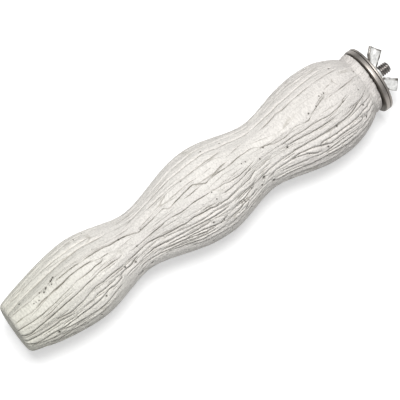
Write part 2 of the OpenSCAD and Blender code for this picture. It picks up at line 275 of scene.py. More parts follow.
# %% [markdown]
# The shaded bottom of a furrow is less than a millimetre wide, and the mesh's points lie up to a millimetre
# apart, too far to draw it sharply. So the mesh carries distances: how far beside a furrow each point lies,
# and how far from a pinhole. A distance changes evenly from point to point, and the finish paints a crisp
# line of shade, with some dust in it, or a dot of shade where it is nearly nothing.

# %% Lines and dots of painted shade drawn from distances
FURROW_LINE_MM, FURROW_GUARD_MM = 0.45, 1.2
THINNEST_LINE, FULL_FORCE = 0.4, 0.7
PIN_GUARD_MM, PIN_CORE_MM = 1.9, 0.1


def furrow_line(tree, attribute):
    """A line of painted shade, with some dust, where a furrow runs, as wide and as dark as the furrow is
    strong
    """
    place = add(tree, "Attribute", attribute_name=attribute).outputs["Vector"]
    parts = add(tree, "SeparateXYZ", links={0: place})
    beside = add(tree, "Math", operation="ABSOLUTE", links={0: parts.outputs["X"]})
    width = add(tree, "MapRange", links={0: parts.outputs["Z"]}, clamp=False,
                values={3: THINNEST_LINE * FURROW_LINE_MM, 4: FURROW_LINE_MM})
    line = add(tree, "MapRange", links={0: beside.outputs[0], 2: width.outputs[0]},
               values={1: 0.0, 3: 1.0, 4: 0.0}, interpolation_type="SMOOTHSTEP")
    guard = add(tree, "Math", operation="LESS_THAN", links={0: parts.outputs["Y"]},
                values={1: FURROW_GUARD_MM})
    force = add(tree, "MapRange", links={0: parts.outputs["Z"]}, values={2: FULL_FORCE, 3: 0.0, 4: 1.0})
    seen = add(tree, "Math", operation="MULTIPLY", links={0: line.outputs[0], 1: guard.outputs[0]})
    strong = add(tree, "Math", operation="MULTIPLY", links={0: seen.outputs[0], 1: force.outputs[0]})
    return strong.outputs[0]


def pinhole_dot(tree):
    """A round dot of painted shade at each pinhole, of the pinhole's own size"""
    place = add(tree, "Attribute", attribute_name="pin_place").outputs["Vector"]
    size = add(tree, "SeparateXYZ", links={0: place}).outputs["Z"]
    flat = add(tree, "VectorMath", operation="MULTIPLY", links={0: place}, values={1: (1, 1, 0)})
    gap = add(tree, "VectorMath", operation="LENGTH", links={0: flat.outputs[0]})
    dot = add(tree, "MapRange", links={0: gap.outputs["Value"], 2: size},
              values={1: PIN_CORE_MM, 3: 1.0, 4: 0.0}, interpolation_type="SMOOTHSTEP")
    near = add(tree, "Attribute", attribute_name="pin_distance").outputs["Fac"]
    guard = add(tree, "Math", operation="LESS_THAN", links={0: near}, values={1: PIN_GUARD_MM})
    seen = add(tree, "Math", operation="MULTIPLY", links={0: dot.outputs[0], 1: guard.outputs[0]})
    return seen.outputs[0]


print(f"furrow lines are up to {2 * FURROW_LINE_MM} mm wide")

# %% [markdown]
# The casting is a mineral mix of chalk and cement, poured into a mould and knocked out. It is matte and
# slightly porous: pinholes where air bubbles met the mould, a fine grit all over, and painted shade, with
# some dust, down in the furrows. Its grain runs along the perch, so its patterns are stretched along the
# coordinates that the skin carries with it. The hair cracks are the borders of long, narrow cells, with
# painted shade in them.

# %% Patterns of the casting
GRIT_MM = 0.9
FIBRE_MM, FIBRE_STRETCH = 1.3, 0.1
CELL_MM, CELL_STRETCH = 4.2, 0.09
CRACK_MM = 0.13
PATCH_MM = 16
CRACKED_PATCHES = [(0.42, 0.0), (0.62, 0.8)]
WARP_MM, WARP_SIZE_MM = 0.8, 6
PORE_CELL_MM, PORE_MM = 7.5, 0.3
PORE_CORE, PORE_RIM = 0.6, 1.4


def wavy_place(tree, skin):
    """The place on the skin, pushed to and fro a little, so that no line on it is straight"""
    warp = add(tree, "TexNoise", links={"Vector": skin}, values={"Scale": 1 / (WARP_SIZE_MM * MM)})
    centred = add(tree, "VectorMath", operation="SUBTRACT", links={0: warp.outputs["Color"]},
                  values={1: (0.5, 0.5, 0.5)})
    return add(tree, "VectorMath", operation="MULTIPLY_ADD", links={0: centred.outputs[0], 2: skin},
               values={1: (WARP_MM * MM,) * 3}).outputs[0]


def hair_cracks(tree, place, patches):
    """Borders of long cells, in patches"""
    long_cells = add(tree, "Mapping", links={"Vector": place}, values={"Scale": (CELL_STRETCH, 1, 1)})
    borders = add(tree, "TexVoronoi", feature="DISTANCE_TO_EDGE", links={"Vector": long_cells.outputs[0]},
                  values={"Scale": 1 / (CELL_MM * MM)})
    line = ramp(tree, borders.outputs["Distance"], [(0, 1.0), (CRACK_MM / CELL_MM, 0.0)])
    cracked = ramp(tree, patches, CRACKED_PATCHES)
    return add(tree, "Math", operation="MULTIPLY", links={0: line, 1: cracked}).outputs[0]


def pores(tree, skin):
    """Small round holes, one in each cell"""
    cells = add(tree, "TexVoronoi", links={"Vector": skin}, values={"Scale": 1 / (PORE_CELL_MM * MM)})
    share = PORE_MM / PORE_CELL_MM
    return ramp(tree, cells.outputs["Distance"], [(PORE_CORE * share, 1.0), (PORE_RIM * share, 0.0)])


def fibre_grain(tree, place):
    """Fine noise that is drawn out along the perch"""
    long_grain = add(tree, "Mapping", links={"Vector": place}, values={"Scale": (FIBRE_STRETCH, 1, 1)})
    return add(tree, "TexNoise", links={"Vector": long_grain.outputs[0]},
               values={"Scale": 1 / (FIBRE_MM * MM), "Detail": 4, "Roughness": 0.6}).outputs["Fac"]


print(f"long cells of {CELL_MM} mm by {CELL_MM / CELL_STRETCH:.0f} mm")

# %% [markdown]
# The chalk is warm next to the washers and turns a little olive towards the tip. Each pattern darkens or
# greys it by a small amount. The deepest tone is painted shade: in the pinholes and pores, and a painted
# shadow in the crease where the washer bears on the casting.

# %% Mineral casting
CHALK = "#efebe5"
CHALK_WARM = "#e8e3de"
CHALK_OLIVE = "#e3e1d5"
FURROW_DUST_AND_SHADE = "#a39e94"
CRACK_SHADE_GREY = "#b0aba1"
PINHOLE_SHADE_GREY = "#443f37"
# A painted shadow in the crease where the washer meets the casting: its colour, its width in mm, and the
# share of it at full darkness
CONTACT_SHADOW_GREY, CONTACT_SHADOW_MM, CONTACT_SHADOW_FULL = "#5d5750", 0.9, 0.6
# For each pattern, the shade where it is lowest, and the values of the pattern between which it fades out
PATCH_SHADE, FIBRE_SHADE, GRIT_SHADE = (0.96, 0.35, 0.6), (0.95, 0.3, 0.5), (0.78, 0.34, 0.58)
FIBRE_RELIEF_MM, HOLLOW_RELIEF_MM, GRIT_RELIEF_MM = 0.2, 0.2, 0.9


def chalk_tone(tree):
    """The plain colour of the mix, from the washer end to the tip, with a painted shadow where the washer
    bears on it
    """
    place = add(tree, "TexCoord").outputs["Object"]
    along = add(tree, "SeparateXYZ", links={0: place}).outputs["X"]
    share = add(tree, "MapRange", links={0: along}, values={1: SEAT_X * MM, 2: TIP_X * MM})
    contact = CONTACT_SHADOW_MM / (TIP_X - SEAT_X)
    # The first stop is the painted shadow in the crease where the washer bears on the casting
    return ramp(tree, share.outputs[0], [(CONTACT_SHADOW_FULL * contact, CONTACT_SHADOW_GREY), (contact, CHALK_WARM),
                                         (0.35, CHALK), (0.7, CHALK), (1, CHALK_OLIVE)])


def casting_material():
    """Chalk and cement: matte and gritty, with painted shade in its furrows, cracks, pores and pinholes, and
    some dust in the furrows
    """
    material, tree, output = new_material("mineral_casting")
    skin = add(tree, "Attribute", attribute_name="skin_place").outputs["Vector"]
    lines = {0: furrow_line(tree, "furrow_place"), 1: furrow_line(tree, "split_place")}
    furrow = add(tree, "Math", operation="MAXIMUM", links=lines).outputs[0]
    pinhole = pinhole_dot(tree)
    wavy = wavy_place(tree, skin)
    patches = add(tree, "TexNoise", links={"Vector": skin},
                  values={"Scale": 1 / (PATCH_MM * MM), "Detail": 2}).outputs["Fac"]
    crack = hair_cracks(tree, wavy, patches)
    pore = pores(tree, skin)
    hole = add(tree, "Math", operation="MAXIMUM", links={0: pore, 1: pinhole}).outputs[0]
    fibres = fibre_grain(tree, wavy)
    grit = add(tree, "TexNoise", links={"Vector": skin},
               values={"Scale": 1 / (GRIT_MM * MM), "Detail": 3, "Roughness": 0.75}).outputs["Fac"]

    colour = chalk_tone(tree)
    for pattern, lowest in ((patches, PATCH_SHADE), (fibres, FIBRE_SHADE), (grit, GRIT_SHADE)):
        colour = shade(tree, colour, pattern, *lowest)
    # Painted shade, with some dust, along the bottom of each furrow
    colour = tint(tree, colour, FURROW_DUST_AND_SHADE, furrow)
    # Painted shade in the hair cracks
    colour = tint(tree, colour, CRACK_SHADE_GREY, crack)
    # Painted shade in the pinholes and pores
    colour = tint(tree, colour, PINHOLE_SHADE_GREY, hole)
    hollow = add(tree, "Math", operation="MAXIMUM", links={0: crack, 1: pore}).outputs[0]
    hollow = add(tree, "Math", operation="MAXIMUM", links={0: hollow, 1: furrow}).outputs[0]
    solid = add(tree, "Math", operation="SUBTRACT", values={0: 1.0}, links={1: hollow}).outputs[0]
    normal = lower(tree, [(fibres, FIBRE_RELIEF_MM), (solid, HOLLOW_RELIEF_MM), (grit, GRIT_RELIEF_MM)])
    shader = add(tree, "BsdfPrincipled", links={"Base Color": colour, "Normal": normal},
                 values={"Roughness": 0.9, "Specular IOR Level": 0.2})
    tree.links.new(shader.outputs[0], output.inputs["Surface"])
    return material


chalk = casting_material()
print("nodes in the casting's finish:", len(chalk.node_tree.nodes))

# %% [markdown]
# The metal is all steel. The bolt has a dull zinc finish, the washers are stamped and brushed, and the
# wing nut has a bright, slightly lumpy zinc skin from the way it was formed and plated. One function makes
# the three finishes from the size and the height of their lumps. Where a piece carries a value for painted
# shade, its colour goes towards a dark grey: on the washers' flat faces and along the wing nut's edges.

# %% Metals
# The grey that paints shade on the washers' flat faces and along the wing nut's edges
PAINTED_SHADE_GREY = "#6f6a64"
LUMP_SHADE = [(0.3, 0.82), (0.6, 1.0)]
LOW_LUMP, HIGH_LUMP = 0.3, 0.7
LOW_SHEEN, HIGH_SHEEN = 0.85, 1.2


def metal_material(name, hex_colour, roughness, lump_mm, lump_height_mm, stretch=(1, 1, 1), painted_shade=None):
    """A metal with a fine relief, stretched as its making left it, and darker where it carries painted shade
    """
    material, tree, output = new_material(name)
    place = add(tree, "TexCoord").outputs["Object"]
    mapped = add(tree, "Mapping", links={"Vector": place}, values={"Scale": stretch})
    lumps = add(tree, "TexNoise", links={"Vector": mapped.outputs[0]},
                values={"Scale": 1 / (lump_mm * MM), "Detail": 3, "Roughness": 0.55})
    colour = add(tree, "Mix", data_type="RGBA", blend_type="MULTIPLY", values={0: 1.0})
    colour.inputs[6].default_value = linear(hex_colour)
    tree.links.new(ramp(tree, lumps.outputs["Fac"], LUMP_SHADE), colour.inputs[7])
    colour = colour.outputs[2]
    # Painted shade, where the piece carries a value for it
    if painted_shade:
        colour = tint(tree, colour, PAINTED_SHADE_GREY, add(tree, "Attribute", attribute_name=painted_shade).outputs["Fac"])
    sheen = add(tree, "MapRange", links={0: lumps.outputs["Fac"]},
                values={1: LOW_LUMP, 2: HIGH_LUMP, 3: roughness * LOW_SHEEN, 4: roughness * HIGH_SHEEN})
    bump = add(tree, "Bump", links={"Height": lumps.outputs["Fac"]},
               values={"Strength": 1.0, "Distance": lump_height_mm * MM})
    shader = add(tree, "BsdfPrincipled", values={"Metallic": 1.0},
                 links={"Base Color": colour, "Roughness": sheen.outputs[0], "Normal": bump.outputs[0]})
    tree.links.new(shader.outputs[0], output.inputs["Surface"])
    return material


bolt_steel = metal_material("zinc_plated_steel", "#979390", roughness=0.34, lump_mm=0.8, lump_height_mm=0.01)
washer_steel = metal_material("brushed_steel", "#9a948e", roughness=0.42, lump_mm=0.5, lump_height_mm=0.012,
                              stretch=(1, 1, 0.06), painted_shade="face_shade")
nut_zinc = metal_material("bright_zinc", "#f8f6f2", roughness=0.34, lump_mm=1.6, lump_height_mm=0.08,
                          painted_shade="edge_shade")
print("metals:", bolt_steel.name, washer_steel.name, nut_zinc.name)

# %% [markdown]
# The dowel is beech, turned and left bare: pale, matte, with dark fibres a millimetre apart that run straight
# along the rod. It is shut in by the casting, so it shows only where the pieces are taken apart.

# %% Beech
BEECH_FIBRE_MM, BEECH_STRETCH = 1.2, 0.05
BEECH_GRAIN = [(0.35, "#a9814f"), (0.65, "#d3b184")]


def beech_material():
    """Turned dowel rod: pale, with straight grain along the perch"""
    material, tree, output = new_material("beech_dowel")
    place = add(tree, "TexCoord").outputs["Object"]
    grain = add(tree, "Mapping", links={"Vector": place}, values={"Scale": (BEECH_STRETCH, 1, 1)})
    fibres = add(tree, "TexNoise", links={"Vector": grain.outputs[0]},
                 values={"Scale": 1 / (BEECH_FIBRE_MM * MM), "Detail": 5})
    shader = add(tree, "BsdfPrincipled", values={"Roughness": 0.6},
                 links={"Base Color": ramp(tree, fibres.outputs["Fac"], BEECH_GRAIN)})
    tree.links.new(shader.outputs[0], output.inputs["Surface"])
    return material


beech = beech_material()
print("materials:", [m.name for m in bpy.data.materials])

# %% [markdown]
# Every round piece here starts the same way: a plain cylinder along X, cut into rings in edit mode, whose
# rings are then moved to their places. Moving points by a rule is what a sculptor does with a brush, and
# it keeps the mesh closed and even, which loose grooves cut by booleans wouldn't.

# %% Helpers for round pieces


def deselect_all():
    """Blender's operators act on all that is selected, so nothing may be left over"""
    if bpy.context.object and bpy.context.object.mode == "EDIT":
        bpy.ops.object.mode_set(mode="OBJECT")
    bpy.ops.object.select_all(action="DESELECT")


def edit_selected(piece, kind, wanted):
    """Opens the piece for editing with the vertices, edges or faces selected that a test wants"""
    deselect_all()
    piece.select_set(True)
    bpy.context.view_layer.objects.active = piece
    modes = ("vertices", "edges", "polygons")
    bpy.context.tool_settings.mesh_select_mode = [kind == name for name in modes]
    bpy.ops.object.mode_set(mode="EDIT")
    bpy.ops.mesh.select_all(action="DESELECT")
    bpy.ops.object.mode_set(mode="OBJECT")
    for item in getattr(piece.data, kind):
        item.select = wanted(item)
    bpy.ops.object.mode_set(mode="EDIT")


def cut_rings(piece, cuts):
    """Cuts every stretch of the side, from ring to ring, into cuts + 1 equal ones"""
    points = piece.data.vertices
    edit_selected(piece, "edges",
                  lambda e: abs(points[e.vertices[0]].co.x - points[e.vertices[1]].co.x) > 1e-6)
    bpy.ops.mesh.subdivide(number_cuts=cuts)
    bpy.ops.object.mode_set(mode="OBJECT")


def plain_rod(name, columns):
    """A closed cylinder along X, from 0 to 1, of radius 1"""
    deselect_all()
    bpy.ops.mesh.primitive_cylinder_add(vertices=columns, radius=1, depth=1, end_fill_type="NGON",
                                        location=(0.5, 0, 0), rotation=(0, math.pi / 2, 0))
    rod = bpy.context.object
    rod.name = rod.data.name = name
    bpy.ops.object.transform_apply(location=True, rotation=True, scale=True)
    return rod


def read_points(piece):
    """The mesh's points as an array of rows x, y, z"""
    points = np.empty(len(piece.data.vertices) * 3)
    piece.data.vertices.foreach_get("co", points)
    return points.reshape(-1, 3)


def write_points(piece, points):
    """Moves the mesh's points to the rows x, y, z of an array"""
    piece.data.vertices.foreach_set("co", points.ravel())
    piece.data.update()


def finish_piece(piece, material, body, node, smooth_angle=40):
    """Shades a piece, and says what it is made of, rides on and stands for"""
    deselect_all()
    piece.select_set(True)
    bpy.context.view_layer.objects.active = piece
    bpy.ops.object.shade_smooth_by_angle(angle=math.radians(smooth_angle))
    piece.data.materials.clear()
    piece.data.materials.append(material)
    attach(piece, body)
    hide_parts(node)
    triangles = sum(len(face.vertices) - 2 for face in piece.data.polygons)
    print(f"{piece.name}: {triangles} triangles")


# %% [markdown]
# The casting's outline has three bulges and two waists. Between a waist and a bulge the radius follows
# half a cosine wave, as it does on a turned leg. The waves of one side run a little ahead of those of the
# other, which is what makes the perch look grown and not turned.

# %% Profile of the casting
LENGTH = TIP_X - SEAT_X
COLLAR_LENGTH = 3.8
NECK_AT = 4.75
COLLAR_ROUND = 1.2
TIP_ROUND = 2
LEAN = 2.2
BOW, BOW_POWER = 1.0, 1.42
COLLAR_STRAY, SHOULDER_STRAY_SHARE = 1.4, 0.35
# Places of the bulges and waists, as shares of the length, and their diameters in millimetres
WAVES = [(0.142 * LENGTH, 51.2), (0.309 * LENGTH, 37.4), (0.4625 * LENGTH, 50.4),
         (0.6575 * LENGTH, 31.8), (0.8085 * LENGTH, 45.4)]
NECK_D, COLLAR_D, TIP_D = 34, 35, 28.8
FULLNESS, SHOULDER_POWER, TIP_POWER = 0.9, 2.65, 1.73


def ease(share):
    """A smooth rise from 0 to 1, held at its ends"""
    return (1 - np.cos(np.pi * np.clip(share, 0, 1))) / 2


def body_radius(along):
    """Radius of the plain casting at a distance from its washer end"""
    first, last = WAVES[0][0], WAVES[-1][0]
    neck = (NECK_D + (COLLAR_D - NECK_D) * ease((NECK_AT - along) / (NECK_AT - COLLAR_LENGTH))) / 2
    down = np.clip((first - along) / (first - NECK_AT), 0, 1)
    shoulder = (WAVES[0][1] - (WAVES[0][1] - NECK_D) * down ** SHOULDER_POWER) / 2
    out = np.clip((along - last) / (LENGTH - last), 0, 1)
    tip = (WAVES[-1][1] - (WAVES[-1][1] - TIP_D) * out ** TIP_POWER) / 2
    radius = np.where(along < NECK_AT, neck, np.where(along < first, shoulder, tip))
    for (x0, d0), (x1, d1) in zip(WAVES, WAVES[1:]):
        share = np.clip((along - x0) / (x1 - x0), 0, 1)
        rise = ease((share if d1 > d0 else 1 - share) ** FULLNESS)
        wave = (min(d0, d1) + abs(d1 - d0) * rise) / 2
        radius = np.where((along >= x0) & (along < x1), wave, radius)
    return radius


def rounding(from_end, radius):
    """How much a rounded edge draws the surface in"""
    inside = np.clip(from_end, 0, radius)
    return radius - np.sqrt(inside * (2 * radius - inside))


def free_share(along):
    """0 at both ends and 1 between the end bulges"""
    return (ease((along - NECK_AT) / (WAVES[0][0] - NECK_AT))
            * ease((LENGTH - along) / (LENGTH - WAVES[-1][0])))


def skin_radius(along, angle):
    """Radius of the smooth casting, with its waves leaning to one side and its two ends rounded"""
    return (body_radius(along - LEAN * free_share(along) * np.cos(angle))
            - rounding(along, COLLAR_ROUND) - rounding(LENGTH - along, TIP_ROUND))


def stray(along):
    """How far the middle line lies towards -Y"""
    return (BOW * free_share(along) * np.sin(np.pi * (along / LENGTH) ** BOW_POWER)
            + COLLAR_STRAY * SHOULDER_STRAY_SHARE * (1 - ease(along / WAVES[0][0]))
            + COLLAR_STRAY * (1 - SHOULDER_STRAY_SHARE) * (1 - ease(along / NECK_AT)))


print("radius at the bulges and waists:", [round(float(body_radius(np.array(x))), 1) for x, _ in WAVES])

# %% [markdown]
# The furrows on the side that shows were laid out one by one, as a wood carver pencils them before cutting.
# Each route is a list of places: millimetres from the clamp, and degrees round the body from the line
# that faces up. The number before it says how strong the furrow is, from 1, a hairline, to 5.

# %% Routes of the furrows on the upper side
ROUTES = [
    # the bulge next to the tip
    (2, [(226, -65.5), (215, -64), (206.5, -66.5), (195, -64), (183, -62), (177, -59)]),
    (3, [(226, -55), (220.5, -52.5), (212, -53), (204, -51.5), (197, -51.5), (190, -50), (174, -50)]),
    (3, [(226, -38), (218.5, -39), (205.5, -39), (193, -39.5), (180, -40), (168, -41)]),
    (1.5, [(226, -26), (219, -23), (208, -24), (203, -28), (196, -27.5), (189, -26), (184, -24),
           (173, -24), (169, -21.5)]),
    (3, [(204, -22), (192, -22.5), (186, -21), (174, -22), (168, -20.5), (163, -21), (158, -19), (154, -15),
         (152.5, -11.5), (146, -14), (135, -18), (132.5, -11.5), (122, -16), (116, -17), (113, -13),
         (110, -9), (104, -13), (98, -17), (94, -17)]),
    (3, [(224.5, -8), (221.5, -6), (217.5, -9.5), (210, -11), (204.5, -12), (195, -14.5), (186, -14.5),
         (182, -14), (180, -13.5)]),
    (5, [(223, -7), (219, -7.5), (215.5, -9.5), (210, -11), (204.5, -12), (196, -14)]),
    (1.5, [(179, -10), (172, -10), (168, -8), (161, -9), (152, -12)]),
    (2.5, [(227, 7.5), (220, 7.5), (213, 4.5), (207.5, 3), (200.5, -0.5), (194, -3), (189.5, -2.5),
           (186, -3), (181.5, -5), (178, -5), (176, -7), (175.5, -9)]),
    (1.5, [(180.5, 0), (175, 1), (171.5, 1), (166, -1)]),
    (2, [(220, 14), (217.5, 12.5), (213, 11.5), (209.5, 8.5), (202, 5.5), (195, 4.5)]),
    (1, [(190, 6), (182, 9), (172, 8), (166, 7)]),
    (3, [(232, 21.5), (231, 25), (227.5, 26), (221.5, 21), (212.5, 17.5), (206.5, 14.5), (201, 12),
         (195, 10), (192.5, 8.5), (187, 7.5), (183, 5.5), (176.5, 5), (173, 4.5), (168, 6), (163.5, 2.5)]),
    (5, [(219, 19.5), (215, 18.5), (209.5, 15.5), (204, 13), (197, 10.5), (190, 8)]),
    (2.5, [(162, 10), (150, 6), (138, 1), (134, 1), (129, 3.5), (121, 1.5), (114, 2.5), (108, 3.5),
           (103, 4), (98, 7), (92, 7), (86, 5), (81, 2)]),
    (2.5, [(214, 24.5), (211.5, 26.5), (206, 29), (201, 27), (196, 24), (192.5, 21), (187.5, 17.5),
           (182.5, 19.5), (176, 18.5), (170.5, 20), (168, 18.5)]),
    (3, [(166, 19), (162.5, 20), (159, 19), (155.5, 17), (151.5, 14.5), (148, 16), (143, 19), (130, 20),
         (125, 18), (120, 19.5), (115, 20), (112.5, 22), (108.5, 19.5)]),
    (3, [(231.5, 38.5), (225, 37), (217.5, 35), (211.5, 31.5), (207, 33), (203, 33.5)]),
    (2.5, [(191.5, 30), (188, 28.5), (180, 29), (175.5, 28.5)]),
    (3, [(231, 49), (228.5, 54), (225, 53), (219, 47.5), (210.5, 45.5), (207, 43.5), (199.5, 41),
         (190, 39), (187.5, 37.5), (181.5, 34), (178.5, 36.5), (175, 36.5), (173, 35), (172.5, 30),
         (171, 28), (165, 30), (163, 26.5), (159.5, 24)]),
    (2.5, [(213.5, 47.5), (209.5, 50.5), (201, 51.5), (192.5, 52.5), (184.5, 50), (178.5, 46),
           (173.5, 45.5)]),
    (2.5, [(223.5, 64), (221.5, 66.5), (217, 69), (212, 64), (206.5, 61), (202, 63.5), (190, 60),
           (180, 57)]),
    # the middle bulge
    (2.5, [(155, -41), (149, -46), (142, -48), (132, -48), (124.5, -47), (116, -45.3), (108, -45.5),
           (100.5, -46.7), (93.8, -44.5), (87, -46.3), (77.6, -45.7), (72, -48), (64, -49.4), (57.7, -48),
           (54, -49), (46, -46.8), (32, -47.3), (20.9, -50.4)]),
    (2, [(165, -27), (158, -29), (149, -36), (143, -37)]),
    (2.5, [(143, -37), (134, -36.5), (128.8, -35.5), (123, -33.8), (119, -32.5), (110, -32), (101, -33.6),
           (92.7, -35.8)]),
    (2, [(152, -17), (139.8, -22.7), (128, -21.9), (118.7, -22.4), (109.7, -20.9), (101.8, -22.3)]),
    (2, [(93.7, -24), (90.7, -24.8), (87.2, -27.4), (83.5, -30.6), (78.3, -33.1)]),
    (2.5, [(109, -11), (106.7, -10.2), (104, -11.4), (95, -11.7), (89.6, -13.8), (84.7, -16.6)]),
    (1.5, [(126, -9), (119.8, -9.3), (111.2, -10.1)]),
    (2, [(137, -58), (121.3, -59), (112, -57), (104, -60), (96.7, -58), (89, -59.5), (80.8, -62.4),
         (69.7, -63)]),
    (1.5, [(106, 2), (101, 1.5), (99, 3.5), (93.5, 0.5), (88.5, 0.5)]),
    (1, [(120, 10), (114, 13), (110, 12), (108, 15)]),
    (3, [(106, 12), (104, 13.5), (95.5, 13), (91.5, 12), (86.5, 9.5), (83.5, 7.5)]),
    (1.5, [(124, 13.5), (116.5, 13.5)]),
    (2.5, [(112.5, 21.5), (104.5, 22.5), (97, 21), (88.5, 20.5), (82.5, 14.5)]),
    (2, [(132, 27), (122, 27), (115, 26), (108.5, 26.5), (104, 28)]),
    (3, [(102, 31.5), (95, 30), (89.5, 31), (85, 26)]),
    (3, [(158, 36), (153.5, 34.5), (150, 32), (142, 33), (134, 32), (127.5, 31), (121.5, 31.5), (115, 32),
         (109, 31.5), (106, 30.5)]),
    (2.5, [(104, 37), (96, 38), (91, 35.5), (88, 34)]),
    (2.5, [(143, 38), (129, 38), (122, 36), (118.5, 36)]),
    (2, [(108, 39), (102.5, 39), (94, 42)]),
    (2.5, [(134, 42), (124, 41.5), (117, 44.5), (114, 45.5), (112.5, 44), (110, 41), (108, 38)]),
    (3, [(148, 44), (136, 44), (129.5, 45), (123, 46.5), (118.5, 46.5)]),
    (2.5, [(111, 47.5), (108, 46.5), (102, 46.5), (99, 45.5), (88, 44)]),
    (2, [(161.5, 51.5), (157.5, 49), (148.5, 49.5), (136, 50), (128, 50), (124, 51), (116, 49.5)]),
    (3, [(143, 54), (131, 56), (125.5, 57), (121, 54.5), (114.5, 55), (112, 53)]),
    (2.5, [(111, 57.5), (105, 55.5), (98, 55), (93.5, 46)]),
    (2, [(132, 62), (117, 63), (104, 65), (98, 62), (82, 58)]),
    (2.5, [(100, 33), (84, 32), (78, 30.5), (68, 26.5), (60, 23.5), (44, 23.5), (30, 23.5), (24, 22),
           (14, 16)]),
    # the bulge next to the washers
    (1.5, [(58, -71.6), (49.4, -67), (44, -65.3), (32, -67.2), (25, -67.3)]),
    (2, [(70, -66), (62.6, -62), (51, -60), (41.7, -58.3), (37, -56.6), (30.7, -58), (24.6, -60)]),
    (3, [(68.6, -35.3), (64, -37), (57.2, -38.6), (53.3, -36.5), (41.4, -36.5), (32, -37.5), (25.4, -37.8),
         (16.7, -40)]),
    (2, [(22.3, -30.7), (23.1, -24.8), (21.8, -15.8)]),
    (1.5, [(31, -20), (28.9, -21.6), (24.5, -24)]),
    (2, [(38, -11.6), (35, -14.3), (31, -17), (28.4, -16.2)]),
    (1, [(55, -23.5), (40, -23), (35, -21)]),
    (2, [(27.3, 7.2), (24.7, 1.7), (20.9, 0.6)]),
    (1, [(58, -20), (54, -21)]),
    (2, [(92, -13.5), (80, -17), (77, -15), (75, -11), (69, -5.5), (67, -1), (60.5, 0), (54, -4.5),
         (46, -1), (41, -7), (38, -9.5), (31, -14.5), (28, -13)]),
    (1, [(68, -4), (61, -6), (55, -6)]),
    (1, [(46, -6), (40, -6), (34, -4.5)]),
    (1, [(39, 1.5), (34, 1), (30, 0), (29, -3)]),
    (2.5, [(34.5, -12), (31.6, -10.2), (24.6, -11), (19.6, -11.3), (15.4, -12.6), (10.8, -15)]),
    (2, [(66, 6), (58, 5), (51, 6.5), (45.5, 5.5), (36.5, 8), (28, 7), (26.5, 5), (20, 3)]),
    (2.5, [(69, 12), (58, 11.5), (51, 13), (44.5, 14), (32.5, 14)]),
    (1.5, [(26.5, 15), (21, 17), (15, 16.5), (8, 10)]),
    (2.5, [(48, 34), (44, 32.5), (39.5, 33), (31.5, 33.5), (19, 33)]),
    (3, [(66, 35), (59, 31.5), (50, 34.5), (42, 40.5), (36, 39), (29.5, 39.5), (24, 41), (18, 43)]),
    (2.5, [(79, 43), (75, 39.5), (69, 37), (62, 34.5), (55.5, 38), (51, 44), (47.5, 44.5)]),
    (3, [(71, 46), (64, 47), (57, 48), (55, 46)]),
    (2, [(46.5, 49), (43.5, 47), (37.5, 45.5)]),
    (2, [(47, 51), (36, 51), (24, 52)]),
    (4, [(76, 60), (64.5, 58), (54.5, 58), (44.5, 56), (35, 58), (29.5, 60), (20, 59)]),
    (3, [(66, 69), (53.5, 68.5), (47, 69.5), (38.5, 68.5), (28, 70), (18, 68)]),
    (3, [(23, 60), (17, 59), (12, 58), (8, 60)]),
    (2.5, [(20, 42), (16, 43), (11, 41), (8, 44)]),
    (2.5, [(21, 33), (14, 34), (9, 31)]),
    (2.5, [(26, 51), (18, 53), (12, 51), (8, 53)]),
    (2.5, [(20, 68), (13, 70), (8, 68)]),
    (2, [(17, 24), (12, 26), (8, 24)]),
    (1.2, [(36, -72), (28, -73), (24, -69), (19, -66)]),
    (1, [(48, -64), (40, -63), (30, -62)]),
]
# Pinholes on the same side, as place, turn and radius in millimetres
PINHOLES = [
    (202.5, -29, 0.8), (204.5, -27, 0.9), (208.5, -23.5, 1), (210.5, -20, 0.9), (212.5, -24, 0.7),
    (205, -22, 0.7), (218, -16, 0.6), (215, -14.5, 0.6), (224, -34, 0.8), (163, -21, 0.8), (157, 8, 0.6),
    (168.5, 24.5, 0.8), (185, 40, 0.9), (215, 51, 1), (162, 32, 0.9), (154, 63, 1.2), (119.5, -31, 0.7),
    (117.5, 38, 0.9), (97, 43, 0.8), (84, 44, 0.9), (76.5, 56, 1.3), (81, 36, 1.5), (62.5, 14, 0.9),
    (78, 5, 0.8), (110, 14, 0.7), (44, -8, 0.8), (38.5, -10, 0.7), (73, -7, 0.7), (34, -18, 0.7),
    (31, -18, 0.6), (9, -25, 0.7), (19, -46, 0.9), (44, 43, 0.9), (17, 45, 0.9), (16, 26, 0.8),
    (85.5, -4, 0.6), (90, -51, 0.8), (101, -52, 0.8), (35, 25, 0.9), (20, 60, 1.1),
]
print(len(ROUTES), "furrows and", len(PINHOLES), "pinholes on the upper side")

# %% [markdown]
# Bark has a grain, as wood has: all its furrows flow along one run of lines, which close up where the body
# narrows and part where it swells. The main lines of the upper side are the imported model's own, read off
# at even steps from the washer end to the tip. Those of the under side follow a rule.

